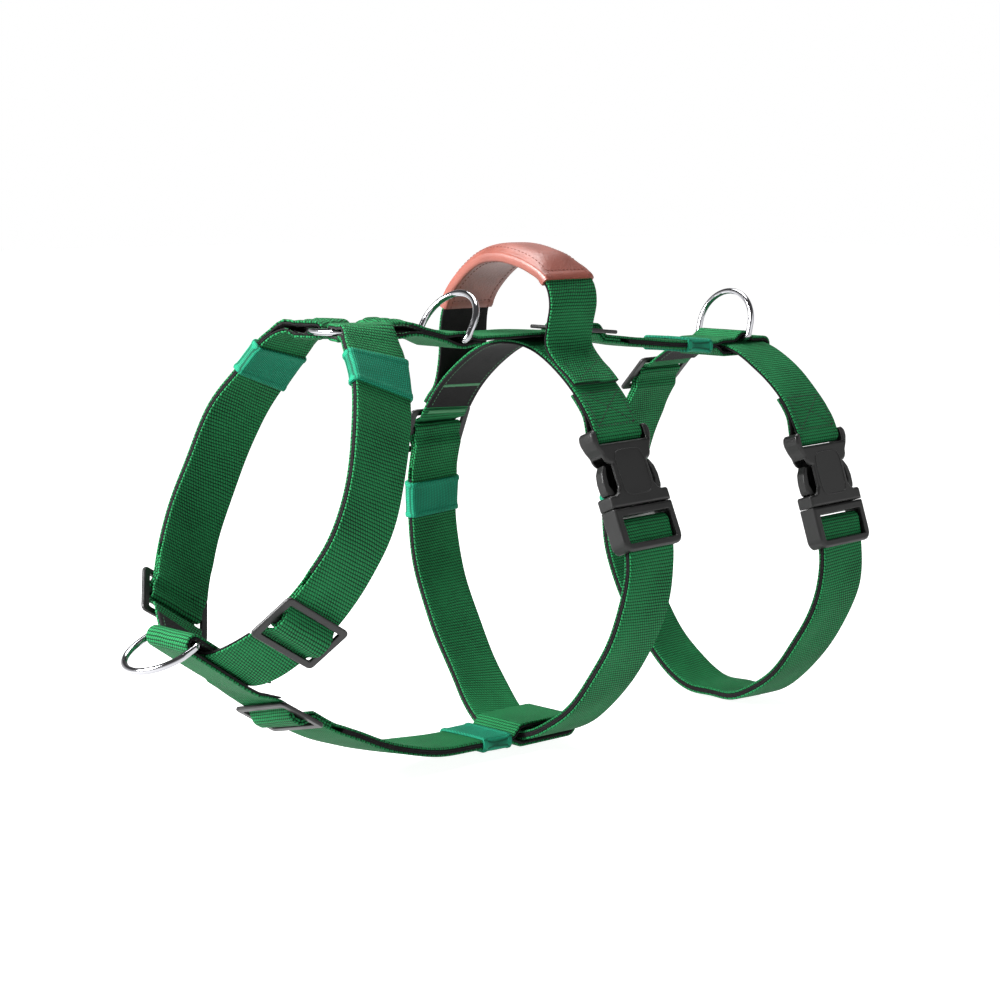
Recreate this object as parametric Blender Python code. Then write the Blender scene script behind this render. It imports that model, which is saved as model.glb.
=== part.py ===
"""No-pull dog harness: padded webbing straps, side-release buckles, sliders, keepers, rings and a top handle.

Frame: the origin is on the underside of the back strap, between the two top rings. +X runs to the tail,
+Y to the dog's right and +Z up. All sizes below are in millimetres, and to_metres turns them into metres.

Every strap follows a guide: a smooth curve with a width direction B and an outward direction N. A strap is
then drawn in the side view (s, n), s along the guide and n away from the dog, which is where its folds
round a bar, its pass through a slider and its doubled stretches are plain to see.
"""

import math

import bmesh
import bpy
import numpy as np
from mathutils import Matrix, Vector

# --- driving sizes, mm ---
WEB_WIDTH = 38.0  # 1.5 inch webbing everywhere
WEB_THICK = 1.5
LINING_THICK = 0.9
LINING_INSET = 0.6  # the lining is this much narrower on each side
GAP = 0.3  # between faces that touch
SIDE_GAP = 1.2  # between a strap's edge and the hardware beside it
BAR_RADIUS = 2.0  # every bar and ring wire that webbing folds round
STATION = 12.0  # spacing of a ribbon's cross-sections

CHEST_X = 35.0
REAR_X = 214.0
RING_CENTRE = (-108.0, 0.0, 9.35)  # the flat ring that the neck and back straps share
RING_RADIUS = 24.0
RING_STRAP_WIDTH = 33.0  # straps gather to this width where they fold round the ring
BACK_RING_WIDTH = 27.0

D_RING_LEG = 8.9  # straight part of each leg, from the bar to the half circle
D_RING_SIDE = 1.1  # side play of a D-ring on its strap
WITHERS_RING_X = -38.0
WITHERS_RING_LEAN = 25.0  # degrees, towards the tail
REAR_RING_LEAN = 15.0
FRONT_RING_LEAN = -31.0

SLIDER_LENGTH = 31.0
SLIDER_BAR = 4.0  # each bar of a slider, along the strap
SLIDER_THICK = 2.4
SLIDER_RAIL = 4.8  # each side rail, across the strap
TWIST_RADIUS = 277.7  # a strap twisting under a flat slider curves no tighter than this across its width
ANCHOR_TAIL = 25.0  # webbing folded back past a slider's middle bar

NECK_SLIDER_AT = 219.0  # down each side of the neck loop, from the ring
CHEST_SLIDER_AT = 107.0  # down the far side of the loop, from its top
REAR_SLIDER_AT = 66.0
BELLY_SLIDER_PAST_NECK = 62.5  # from the middle of the neck straps
BACK_SLIDER_AT = 181.0  # from the flat ring's centre

KEEPER_LENGTH = 23.0
KEEPER_THICK = 1.2
KEEPER_ROOM = 0.5  # between a keeper and the strap it slides on
NECK_KEEPER_AT = 62.0
CHEST_KEEPER_AT = 151.0
REAR_KEEPER_AT = 152.0
BELLY_KEEPER_BEFORE_CHEST = 22.0  # from its middle to the chest strap's edge
BACK_KEEPER_BEFORE_REAR = 25.0

BUCKLE_SIDE = 6.0  # the buckle reaches this far past each edge of the webbing
BUCKLE_THICK = 13.0
FEMALE_LENGTH = 39.4  # plate, from its top edge to the split
FEMALE_HORN = 3.4  # horns past the bar
FEMALE_WALL = 2.3
MALE_LENGTH = 26.7
MALE_RAIL = 5.2
LOWER_BAR_ROOM = 0.4  # between the rail and the webbing round the lower bar
LIP_THICK = 2.4
CHEST_BUCKLE_AT = 92.5  # down the near side of the loop, at the upper bar
REAR_BUCKLE_AT = 102.0
TAIL_LENGTH = 30.0  # webbing sewn back past a bar

HANDLE_SLEEVE_SIDE = 1.75  # the sleeve reaches this far past each edge of the webbing
HANDLE_SLEEVE_THICK = 10.7
HANDLE_SLEEVE_WALL = 1.2
HANDLE_PAD_INSET = 3.5  # the padding ends this far inside each edge of the webbing
SLEEVE_NEAR_Z = 34.0  # heights at which the leather starts and ends
SLEEVE_FAR_Z = 15.0

# --- sizes that follow ---
PITCH = WEB_THICK / 2 + GAP + LINING_THICK + GAP / 2  # a doubled strap's webbing, from its middle
LINING_STEP = WEB_THICK / 2 + GAP + LINING_THICK / 2  # webbing centre to lining centre
FOLD = BAR_RADIUS + GAP + LINING_THICK + GAP + WEB_THICK / 2  # webbing centre round a bar
STACK = PITCH + WEB_THICK / 2  # half of a doubled strap's thickness
LINING_STOP = SLIDER_LENGTH / 2 + 3.0  # linings end this far short of a slider's middle
LINING_START = ANCHOR_TAIL + 6.0  # and start again this far past it
HALF_WEB = WEB_WIDTH / 2
SLIDER_LEVEL = STACK + HALF_WEB**2 / (2 * TWIST_RADIUS) + SLIDER_THICK / 2
D_RING_HALF = HALF_WEB + D_RING_SIDE + BAR_RADIUS
BUCKLE_HALF = HALF_WEB + BUCKLE_SIDE
CURVE_RADIUS = 60.0  # tightest bend of a strap that a flat one wraps
CURVE_ROOM = HALF_WEB**2 / (2 * CURVE_RADIUS)  # the flat strap's room round it
EDGE_ROOM = 1.5  # a flat strap's room beside the edges of the one it wraps
SINGLE_HALF = (WEB_THICK + GAP + LINING_THICK) / 2  # half of a single lined strap's thickness
SINGLE_MIDDLE = PITCH + WEB_THICK / 2 - SINGLE_HALF  # its middle, from its guide
OVER_SINGLE = SINGLE_HALF + GAP + LINING_THICK + GAP + WEB_THICK / 2  # webbing that passes over one
FRONT_BAR_AHEAD = HALF_WEB + 10.5  # from the middle of the neck straps to the front ring's bar
BELLY_SLIDER_AT = FRONT_BAR_AHEAD + BELLY_SLIDER_PAST_NECK
FEMALE_TOP = FOLD + WEB_THICK / 2 + 2 * GAP
SPLIT = FEMALE_TOP + FEMALE_LENGTH
MALE_TOP = SPLIT + GAP
MALE_END = MALE_TOP + MALE_LENGTH
LOWER_BAR = MALE_TOP + MALE_RAIL + LOWER_BAR_ROOM + GAP + FOLD + WEB_THICK / 2

GREEN, TEAL, BLACK = (0.016, 0.115, 0.038), (0.008, 0.085, 0.053), (0.02, 0.018, 0.02)
LEATHER, PLASTIC, STEEL, FOAM = (0.36, 0.10, 0.065), (0.03, 0.03, 0.031), (0.72, 0.72, 0.74), (0.2, 0.2, 0.2)


# --- scene and materials ---


def clear_scene():
    for obj in list(bpy.data.objects):
        bpy.data.objects.remove(obj, do_unlink=True)


def material(name, colour, roughness, metallic=0.0):
    mat = bpy.data.materials.get(name) or bpy.data.materials.new(name)
    mat.use_nodes = True
    shader = mat.node_tree.nodes["Principled BSDF"]
    shader.inputs["Base Color"].default_value = (*colour, 1.0)
    shader.inputs["Roughness"].default_value = roughness
    shader.inputs["Metallic"].default_value = metallic
    return mat


FINISH = {
    "webbing": (GREEN, 0.75, 0.0),
    "keeper": (TEAL, 0.7, 0.0),
    "lining": (BLACK, 0.85, 0.0),
    "leather": (LEATHER, 0.5, 0.0),
    "foam": (FOAM, 0.9, 0.0),
    "plastic": (PLASTIC, 0.45, 0.0),
    "steel": (STEEL, 0.18, 1.0),
}


def add_object(name, bm, finish, origin=(0.0, 0.0, 0.0)):
    """Makes the named object from a mesh in millimetres, with its own origin at a point in millimetres."""
    bmesh.ops.recalc_face_normals(bm, faces=bm.faces)
    bmesh.ops.transform(bm, matrix=Matrix.Translation(-Vector(origin)), verts=bm.verts)
    bmesh.ops.scale(bm, vec=(0.001,) * 3, verts=bm.verts)
    mesh = bpy.data.meshes.new(name)
    bm.to_mesh(mesh)
    bm.free()
    mesh.materials.append(material(finish, *FINISH[finish]))
    mesh.shade_smooth()
    mesh.set_sharp_from_angle(angle=math.radians(35))
    obj = bpy.data.objects.new(name, mesh)
    obj.location = Vector(origin) * 0.001
    bpy.context.collection.objects.link(obj)
    return obj


def cut(obj, cutter, operation="DIFFERENCE"):
    """A Boolean against a helper, which stays out of the model."""
    cutter.hide_render = True
    cutter.display_type = "WIRE"
    modifier = obj.modifiers.new(cutter.name, "BOOLEAN")
    modifier.operation = operation
    modifier.object = cutter


# --- guides ---


class Guide:
    """A smooth curve through (x, y, z, roll) rows, with frames. roll turns the width direction, in degrees."""

    def __init__(self, rows, width_axis, closed=False, fineness=24):
        rows = np.array([tuple(row) + (0.0,) * (4 - len(row)) for row in rows])
        count = len(rows)
        spans = count if closed else count - 1
        index = np.arange(-1, spans + 2)
        index = index % count if closed else np.clip(index, 0, count - 1)
        knots = rows[index]
        chord = np.sqrt(np.linalg.norm(np.diff(knots[:, :3], axis=0), axis=1))
        chord[chord == 0] = 1.0
        fine = []
        for i in range(1, spans + 1):
            fine.append(self.hermite(knots[i - 1 : i + 3], chord[i - 1 : i + 2], fineness))
        if not closed:
            fine.append(rows[-1:])
        fine = np.vstack(fine)
        if closed:
            fine = np.vstack([fine, fine[:1]])
        self.points, roll = fine[:, :3], np.radians(fine[:, 3])
        self.lengths = np.r_[0, np.cumsum(np.linalg.norm(np.diff(self.points, axis=0), axis=1))]
        self.length = self.lengths[-1]
        tangent = np.gradient(self.points, self.lengths, axis=0)
        if closed:
            tangent[0] = tangent[-1] = self.points[1] - self.points[-2]
        tangent /= np.linalg.norm(tangent, axis=1, keepdims=True)
        axis = np.array(width_axis, float)
        width = axis - (tangent @ axis)[:, None] * tangent
        width /= np.linalg.norm(width, axis=1, keepdims=True)
        out = np.cross(tangent, width)
        self.width = width * np.cos(roll)[:, None] + out * np.sin(roll)[:, None]
        self.tangent = tangent
        self.closed = closed

    @staticmethod
    def hermite(four, chord, fineness):
        """One span of a centripetal Catmull-Rom curve."""
        before, here, after = np.diff(four, axis=0) / chord[:, None]
        start = (before * chord[1] + here * chord[0]) / (chord[0] + chord[1]) * chord[1]
        end = (here * chord[2] + after * chord[1]) / (chord[1] + chord[2]) * chord[1]
        t = np.linspace(0, 1, fineness, endpoint=False)[:, None]
        return (
            (2 * t**3 - 3 * t**2 + 1) * four[1]
            + (t**3 - 2 * t**2 + t) * start
            + (3 * t**2 - 2 * t**3) * four[2]
            + (t**3 - t**2) * end
        )

    def frame(self, s):
        """Position, tangent, width and outward directions at length s, straight on past an open end."""
        inside = s % self.length if self.closed else np.clip(s, 0, self.length)
        read = lambda rows: np.array([np.interp(inside, self.lengths, rows[:, k]) for k in range(3)])
        point, tangent, width = read(self.points), read(self.tangent), read(self.width)
        tangent /= np.linalg.norm(tangent)
        width -= (width @ tangent) * tangent
        width /= np.linalg.norm(width)
        if not self.closed:
            point = point + (s - inside) * tangent
        return point, tangent, width, np.cross(tangent, width)

    def place(self, s, n=0.0, w=0.0):
        point, _, width, out = self.frame(s)
        return point + n * out + w * width


# --- ribbons ---


def arc(centre, radius, start, end, steps=6):
    """Points of a circle in the (s, n) side view, from one angle to another in degrees."""
    angles = np.radians(np.linspace(start, end, steps + 1))
    return [(centre[0] + radius * math.cos(a), centre[1] + radius * math.sin(a)) for a in angles]


def with_stations(path):
    """The path with a point wherever it crosses a station, so that layers side by side bend together."""
    full = [path[0]]
    for (s0, n0), (s1, n1) in zip(path, path[1:]):
        low, high = sorted((s0, s1))
        marks = np.arange(math.ceil(low / STATION), math.floor(high / STATION) + 1) * STATION
        marks = [m for m in marks if 1.5 < m - low and 1.5 < high - m]
        for mark in marks if s1 > s0 else marks[::-1]:
            full.append((mark, n0 + (n1 - n0) * (mark - s0) / (s1 - s0)))
        full.append((s1, n1))
    return full


def side_normals(path):
    """Unit normals of a side-view path, on its left, mitred at each corner."""
    path = np.array(path)
    steps = np.diff(path, axis=0)
    steps /= np.linalg.norm(steps, axis=1, keepdims=True)
    left = np.stack([-steps[:, 1], steps[:, 0]], axis=1)
    both = np.vstack([left[:1], left[:-1] + left[1:], left[-1:]])
    both /= np.linalg.norm(both, axis=1, keepdims=True)
    cosine = np.clip((both * np.vstack([left[:1], left])).sum(axis=1), 0.5, 1.0)
    return both / cosine[:, None]


def shifted(path, distance):
    """The path moved to its left, for a layer that lies on another."""
    return [tuple(p) for p in np.array(path) + distance * side_normals(path)]


def span_faces(bm, first, second, rising=True):
    """The four sides between two cross-sections, each in the order out and wide, out, in, in and wide.

    A twisted strap's broad sides aren't flat, so each is split along the same diagonal in every layer:
    from its wide corner at the lower s to the other corner at the higher s.
    """
    low, high = (first, second) if rising else (second, first)
    for wide, other in ((0, 1), (3, 2)):
        bm.faces.new((low[wide], low[other], high[other]))
        bm.faces.new((low[wide], high[other], high[wide]))
    for a, b in ((1, 2), (3, 0)):
        bm.faces.new((low[a], low[b], high[b], high[a]))


def sweep(sections, lengths):
    """A closed solid through cross-sections of four corners, at these lengths along a guide."""
    bm = bmesh.new()
    ends = [[bm.verts.new(point) for point in section] for section in sections]
    for k in range(len(ends) - 1):
        span_faces(bm, ends[k], ends[k + 1], lengths[k + 1] >= lengths[k])
    bm.faces.new(ends[0][::-1])
    bm.faces.new(ends[-1])
    return bm


def ribbon(guide, path, thick, width_at):
    """A flat strap of constant thickness along a side-view path. width_at gives its width at a length s."""
    path = with_stations(path)
    edge = side_normals(path) * thick / 2
    sections = []
    for (s, n), (ds, dn) in zip(path, edge):
        half = width_at(s) / 2
        sections.append(
            [
                guide.place(s + ds, n + dn, half),
                guide.place(s + ds, n + dn, -half),
                guide.place(s - ds, n - dn, -half),
                guide.place(s - ds, n - dn, half),
            ]
        )
    return sweep(sections, [s for s, _ in path])


def full_width(_s):
    return WEB_WIDTH


def strap(name, guide, path, width_at=full_width):
    return add_object(name, ribbon(guide, path, WEB_THICK, width_at), "webbing")


def lining(name, guide, path, side, width_at=full_width):
    """The lining lies on one side of the webbing's path: 1 for its left, -1 for its right."""
    narrow = lambda s: width_at(s) - 2 * LINING_INSET
    return add_object(name, ribbon(guide, shifted(path, side * LINING_STEP), LINING_THICK, narrow), "lining")


class Run:
    """Turns distances u from the start of a strap, counted one way or the other, into guide lengths."""

    def __init__(self, start, sign):
        self.start, self.sign = start, sign

    def path(self, points):
        return [(self.start + self.sign * u, n) for u, n in points]


def fold(u, toward, level=FOLD, lift=0.0):
    """Half a turn round a bar at u: from the outer side to the inner. toward is the way it bulges."""
    points = arc((0, lift), level, 90, -90)
    return [(u + toward * s, n) for s, n in points]


def slider_pass(u):
    """The main layer under a slider's first bar, over its middle bar and under its last bar."""
    reach = SLIDER_LENGTH / 2
    crest = SLIDER_LEVEL + SLIDER_THICK / 2 + GAP + WEB_THICK + GAP + WEB_THICK / 2
    rise = [(-LINING_STOP, PITCH), (-reach + SLIDER_BAR + 1.4, PITCH + 0.1), (-4.4, crest - 0.8), (-2.6, crest)]
    return [(u + ds, n) for ds, n in rise] + [(u - ds, n) for ds, n in rise[::-1]]


def slider_anchor(u):
    """The return layer from the doubled side: round the slider's middle bar and back between the layers."""
    wrap = SLIDER_THICK / 2 + GAP + WEB_THICK / 2
    step = WEB_THICK + GAP
    under = PITCH - 2 * step
    last_bar = SLIDER_LENGTH / 2 - SLIDER_BAR / 2
    half_bar = SLIDER_BAR / 2 - 0.5
    turn = arc((-half_bar, SLIDER_LEVEL), wrap, -90, -270)
    come_in = [(LINING_START, -PITCH), (ANCHOR_TAIL, under), (last_bar - 5.2, under)]
    come_in += [(half_bar + 1.8, SLIDER_LEVEL - wrap - 0.2)]
    go_out = [(half_bar + 1.4, SLIDER_LEVEL + wrap), (half_bar + 2.6, SLIDER_LEVEL + wrap - 1.2)]
    go_out += [(last_bar - 4.2, PITCH - step + 0.1), (ANCHOR_TAIL - 2, PITCH - step)]
    return [(u + ds, n) for ds, n in come_in + turn + go_out]


def bar_turn(bar_u, taper=16.0):
    """Out along the outer side, round a bar and back along the inner side."""
    return [(bar_u - taper, PITCH)] + fold(bar_u, 1) + [(bar_u - taper, -PITCH)]


def strap_turn(middle_u, outer, inner):
    """Round the whole width of a strap that crosses between the layers, its middle at this distance."""
    level, lift = (outer + inner) / 2, (outer - inner) / 2
    reach = HALF_WEB + EDGE_ROOM
    edge = middle_u - reach
    before, after = [(edge - 6.0, PITCH), (edge, outer)], [(edge, -inner), (edge - 6.0, -PITCH)]
    return before, fold(middle_u + reach, 1, level, lift), after


def sewn_end(bar_u, tail=TAIL_LENGTH, level=FOLD, lift=0.0, taper=16.0):
    """The inner tail, a fold round a bar and the start of the outer layer. u grows away from the bar."""
    turn = fold(bar_u, -1, level, lift)[::-1]
    return [(bar_u + tail, -PITCH), (bar_u + taper, -PITCH)] + turn + [(bar_u + taper, PITCH)]


# --- the guides of this harness ---


def loop_rows(x, outline):
    return [(x + dx, y, z) for y, z, dx in outline]


CHEST_OUTLINE = (  # y, z, and how far the loop leans along X there
    (0, -5, 0),
    (-22, -8.5, 0),
    (-46, -23.5, 1),
    (-64.6, -43, 1.6),
    (-70.5, -57, 2),
    (-93.1, -110.4, 3.6),
    (-97.4, -120.5, 3.9),
    (-98, -135, 4),
    (-95, -155, 3),
    (-82, -188, 1),
    (-52, -226, -2),
    (-22, -244, -4),
    (0, -246, -5),
    (22, -244, -4),
    (50, -223, 2),
    (74, -189, 3),
    (88, -155, 2),
    (92, -122, 0),
    (88, -88, -2),
    (78, -61, -3),
    (64, -39, -2),
    (44, -21, -1),
    (22, -8.5, 0),
)
REAR_TOP_Z = -15.0
REAR_OUTLINE = (
    (0, REAR_TOP_Z, -2),
    (-22, -17, -1),
    (-46, -30, 0),
    (-66, -49, 0.8),
    (-72.3, -58.5, 1.2),
    (-77, -72, 1.6),
    (-94.6, -127, 3.3),
    (-97.6, -136.6, 3.6),
    (-98, -151, 4.5),
    (-94, -170, 6),
    (-80, -198, 7),
    (-52, -231, 8),
    (-22, -249, 9),
    (0, -250.5, 10),
    (22, -249, 9),
    (52, -229, 7),
    (78, -196, 5),
    (91, -164, 3),
    (95, -131, 2),
    (92, -100, 2),
    (80, -72, 2),
    (64, -46, 1),
    (44, -28, 0),
    (22, -17, -1),
)
NECK_SIDE = (  # from the flat ring's centre: along X, out to the side, along Z, and roll
    (0, 0, 0, 0),
    (-5, 12.5, 0, 0),
    (-9.4, 23.3, 0, 0),
    (-11.6, 28.8, -0.4, -1),
    (-15.5, 39.5, -9, -2),
    (-22, 53, -27, -4),
    (-33, 66, -51, -5),
    (-48, 74.5, -91, -2),
    (-62, 72, -119, 3),
    (-78, 60, -147, 13),
    (-92.5, 39, -169, 28),
    (-99.8, 20, -179, 33.5),
    (-101, 0, -180, 34),
)
NECK_SLOPE = 34.0  # degrees that the neck loop's lowest stretch slopes down towards the tail
BELLY_ROWS = (  # x, y, z and roll, from behind the neck straps to past the chest loop
    (-186, 3, -187.3, -4),
    (-172, 5, -196.5, -10),
    (-155.5, 2.5, -207.2, -10),
    (-139, 0, -217.9, -10),
    (-120, -1, -227, -10),
    (-89, -1, -238, -5),
    (-58, 0, -244, -2),
    (-27, 0, -246, 0),
    (8, 0, -246, 0),
    (30, 0, -246, 0),
    (50, 0, -246, 0),
)
BACK_ROWS = (  # x and z, from the flat ring to past the rear loop
    (-108, 9.5),
    (-94, 9.5),
    (-83, 9.5),
    (-77, 9.2),
    (-62, 6.0),
    (-46, 2.2),
    (-26, 0),
    (-13, 0),
    (13, 0),
    (26, 0),
    (46, -1),
    (71, -3),
    (99, -6),
    (REAR_X - 78, -10),
    (REAR_X - 44, REAR_TOP_Z + SINGLE_MIDDLE + 0.5),
    (REAR_X - 22, REAR_TOP_Z + SINGLE_MIDDLE),
    (REAR_X, REAR_TOP_Z + SINGLE_MIDDLE),
    (REAR_X + 22, REAR_TOP_Z + SINGLE_MIDDLE),
)
HANDLE_ARCH = (  # y and z between the shoulders
    (-34.5, -4),
    (-35.5, 7),
    (-38, 20),
    (-36, 30),
    (-30, 37),
    (-19, 42.5),
    (-5, 46.5),
    (10, 48.3),
    (26, 46),
    (41.5, 37),
    (54.5, 24),
    (60.5, 12),
    (62.5, 0),
    (63, -14),
)
HANDLE_ENDS = (61.0, 42.0, 73.0, 88.0)  # along the chest loop from its top: near end, leaves, far returns, end


def make_guides():
    guides = {
        "chest": Guide([(CHEST_X + x, y, z) for y, z, x in CHEST_OUTLINE], (1, 0, 0), closed=True),
        "rear": Guide([(REAR_X + x, y, z) for y, z, x in REAR_OUTLINE], (1, 0, 0), closed=True),
    }
    bottom = PITCH - LINING_STEP - LINING_THICK / 2
    guides["back"] = Guide([(x, 0, z - bottom) for x, z in BACK_ROWS], (0, 1, 0))
    ring_x, _, ring_z = RING_CENTRE
    for name, sign in (("neck_near", -1), ("neck_far", 1)):
        rows = [(ring_x + x, sign * y, ring_z + z, -sign * roll) for x, y, z, roll in NECK_SIDE]
        x, y, z, roll = rows[-2]
        guides[name] = Guide(rows + [(x, -y, z, roll)], (-sign, 0, 0))
    guides["belly"] = belly_guide((ring_x + NECK_SIDE[-1][0], ring_z + NECK_SIDE[-1][2]))
    return guides


def belly_guide(neck_bottom):
    """Straight through the middle of the neck straps' lowest stretch, then back under the dog."""
    slope = math.radians(NECK_SLOPE)
    along, out = (math.cos(slope), -math.sin(slope)), (-math.sin(slope), -math.cos(slope))
    rows = []
    for ahead in (-FRONT_BAR_AHEAD, -FRONT_BAR_AHEAD / 2, 0.0, 18.0):
        x = neck_bottom[0] + ahead * along[0] + SINGLE_MIDDLE * out[0]
        z = neck_bottom[1] + ahead * along[1] + SINGLE_MIDDLE * out[1]
        rows.append((x, 0, z, 0))
    return Guide(rows + list(BELLY_ROWS), (0, -1, 0))


def handle_guide(chest):
    """Up from the near shoulder, over the arch and down onto the far shoulder, its lining on the chest strap."""
    level = STACK + GAP + LINING_THICK + GAP + WEB_THICK / 2
    near_end, leaves, returns, far_end = HANDLE_ENDS
    rows = [tuple(chest.place(s, level)) for s in (near_end, (near_end + leaves) / 2, leaves)]
    rows += [(CHEST_X, y, z) for y, z in HANDLE_ARCH]
    for s in (returns, (returns + far_end) / 2, far_end):
        rows.append(tuple(chest.place(chest.length - s, level)))
    return Guide(rows, (-1, 0, 0))


# --- straps and linings ---


def gathered(full_at, narrow):
    """A width that narrows from full_at towards the flat ring, over the last 20 mm of strap."""

    def width_at(s):
        t = min(max((s - full_at) / 20.0 + 1.0, 0.0), 1.0)
        return narrow + (WEB_WIDTH - narrow) * t * t * (3 - 2 * t)

    return width_at


NECK_FOLD = 8.0 + FOLD + WEB_THICK / 2  # middle of a neck strap's fold, from the flat ring's centre
BACK_FOLD = 14.0 + FOLD + WEB_THICK / 2
RING_EDGE = RING_RADIUS + BAR_RADIUS + 1.5  # layers stay apart to here and close over the next stretch
RING_CLOSE = RING_EDGE + 13.0


def neck_straps(guides):
    for side in ("near", "far"):
        guide = guides["neck_" + side]
        lowest = int(np.argmin(np.abs(guide.points[40:, 1]))) + 40
        end = guide.lengths[lowest] - GAP
        run = Run(end, -1)
        slider_u, ring_u = end - NECK_SLIDER_AT, end - NECK_FOLD
        width_at = gathered(48.0, RING_STRAP_WIDTH)
        turn = [(end - RING_EDGE, FOLD)] + fold(ring_u, 1) + [(end - RING_EDGE, -FOLD)]
        turn = [(end - RING_CLOSE, PITCH)] + turn + [(end - RING_CLOSE, -PITCH)]
        path = [(0, PITCH)] + slider_pass(slider_u) + turn + slider_anchor(slider_u)
        strap(f"neck_{side}_strap", guide, run.path(path), width_at)
        start = slider_u + LINING_START
        doubled = run.path([(start, PITCH)] + turn + [(start, -PITCH)])
        lining(f"neck_{side}_lining", guide, doubled, 1, width_at)
        front = run.path([(0, PITCH), (slider_u - LINING_STOP, PITCH)])
        lining(f"neck_{side}_front_lining", guide, front, 1)


def girth_straps(guides):
    for name, bar_at, slider_at in (
        ("chest", CHEST_BUCKLE_AT, CHEST_SLIDER_AT),
        ("rear", REAR_BUCKLE_AT, REAR_SLIDER_AT),
    ):
        guide = guides[name]
        run = Run(bar_at, -1)  # from the upper bar, over the top and down the far side
        slider_u = bar_at + slider_at
        lower = bar_turn(guide.length - LOWER_BAR)
        upper = sewn_end(0)
        path = upper + slider_pass(slider_u) + lower + slider_anchor(slider_u)
        strap(f"{name}_strap", guide, run.path(path))
        lining(f"{name}_upper_lining", guide, run.path(upper + [(slider_u - LINING_STOP, PITCH)]), 1)
        start = slider_u + LINING_START
        doubled = run.path([(start, PITCH)] + lower + [(start, -PITCH)])
        lining(f"{name}_lower_lining", guide, doubled, 1)


def belly_strap(guides):
    """Round the front ring's bar with the neck straps' ends inside, back, and round the chest strap."""
    guide = guides["belly"]
    outer, inner = OVER_SINGLE + GAP, OVER_SINGLE + CURVE_ROOM
    level, lift = (outer + inner) / 2, (outer - inner) / 2
    past_neck = FRONT_BAR_AHEAD + HALF_WEB + 4.0
    front = [(past_neck + 6.0, -inner)] + fold(0, -1, level, lift)[::-1] + [(past_neck, outer)]
    over_double = STACK + GAP + LINING_THICK + GAP + WEB_THICK / 2
    before, turn, after = strap_turn(chest_bottom_u(guide), over_double, over_double + CURVE_ROOM)
    wrap = before + turn + after
    path = front + slider_pass(BELLY_SLIDER_AT) + wrap + slider_anchor(BELLY_SLIDER_AT)
    strap("belly_strap", guide, path)
    lining("belly_front_lining", guide, front + [(BELLY_SLIDER_AT - LINING_STOP, PITCH)], -1)
    start = BELLY_SLIDER_AT + LINING_START
    lining("belly_rear_lining", guide, [(start, PITCH)] + wrap + [(start, -PITCH)], -1)


def back_strap(guides):
    """From the flat ring, round the withers ring's bar, through its slider and round the rear loop's top."""
    guide = guides["back"]
    ring_u = withers_u(guide)
    under = [(12.0, -PITCH), (2.5, -FOLD), (-2.5, -FOLD), (-12.0, -PITCH)]
    over = [(-12.0, PITCH), (-2.5, FOLD), (2.5, FOLD), (12.0, PITCH)]
    turn = [(RING_EDGE, -FOLD)] + fold(BACK_FOLD, -1)[::-1] + [(RING_EDGE, FOLD)]
    turn = [(RING_CLOSE, -PITCH)] + turn + [(RING_CLOSE, PITCH)]
    tail = [(ring_u + 15.0, -PITCH)] + [(ring_u + u, n) for u, n in under]
    front = tail + turn + [(ring_u + u, n) for u, n in over]
    hump = OVER_SINGLE + 2 * BAR_RADIUS + GAP
    before, end, after = strap_turn(rear_ring_u(guide), OVER_SINGLE, OVER_SINGLE + CURVE_ROOM)
    over_ring = [(-9.0, OVER_SINGLE), (-2.5, hump), (2.5, hump), (9.0, OVER_SINGLE)]
    rear_u = rear_ring_u(guide)
    wrap = before + [(rear_u + u, n) for u, n in over_ring] + end + after
    width_at = gathered(BACK_FOLD + 24.0, BACK_RING_WIDTH)
    path = front + slider_pass(BACK_SLIDER_AT) + wrap + slider_anchor(BACK_SLIDER_AT)
    strap("back_strap", guide, path, width_at)
    lining("back_front_lining", guide, front + [(BACK_SLIDER_AT - LINING_STOP, PITCH)], -1, width_at)
    start = BACK_SLIDER_AT + LINING_START
    lining("back_rear_lining", guide, [(start, PITCH)] + wrap + [(start, -PITCH)], -1)


def length_at_x(guide, x):
    return float(np.interp(x, guide.points[:, 0], guide.lengths))


def withers_u(guide):
    return length_at_x(guide, WITHERS_RING_X)


def rear_ring_u(guide):
    return length_at_x(guide, REAR_X + REAR_OUTLINE[0][2])


def chest_bottom_u(guide):
    return length_at_x(guide, CHEST_X + min(CHEST_OUTLINE, key=lambda row: row[1])[2])


# --- hardware ---


def frame_matrix(guide, s, n=0.0, w=0.0):
    """Local X along the guide, Y across it and Z outward."""
    _, tangent, width, out = guide.frame(s)
    point = guide.place(s, n, w)
    return local_matrix(point, tangent, width, out)


def local_matrix(point, along, across, out):
    matrix = Matrix.Identity(4)
    for column, axis in enumerate((along, across, out)):
        for row in range(3):
            matrix[row][column] = axis[row]
    matrix.translation = Vector(point) * 0.001
    return matrix


def box(low, high):
    bm = bmesh.new()
    bmesh.ops.create_cube(bm, size=1.0)
    size = Vector(high) - Vector(low)
    bmesh.ops.scale(bm, vec=size, verts=bm.verts)
    bmesh.ops.translate(bm, vec=(Vector(high) + Vector(low)) / 2, verts=bm.verts)
    return bm


def plate(outline, low, high, bevel=0.0):
    """An outline in local X and Y, extruded along local Z, with its rims bevelled."""
    bm = bmesh.new()
    face = bm.faces.new([bm.verts.new((x, y, low)) for x, y in outline])
    raised = bmesh.ops.extrude_face_region(bm, geom=[face])["geom"]
    top = [v for v in raised if isinstance(v, bmesh.types.BMVert)]
    bmesh.ops.translate(bm, vec=(0, 0, high - low), verts=top)
    if bevel:
        rims = [e for e in bm.edges if abs(e.verts[0].co.z - e.verts[1].co.z) < 1e-6]
        bmesh.ops.bevel(bm, geom=rims, offset=bevel, segments=1, affect="EDGES")
    return bm


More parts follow.
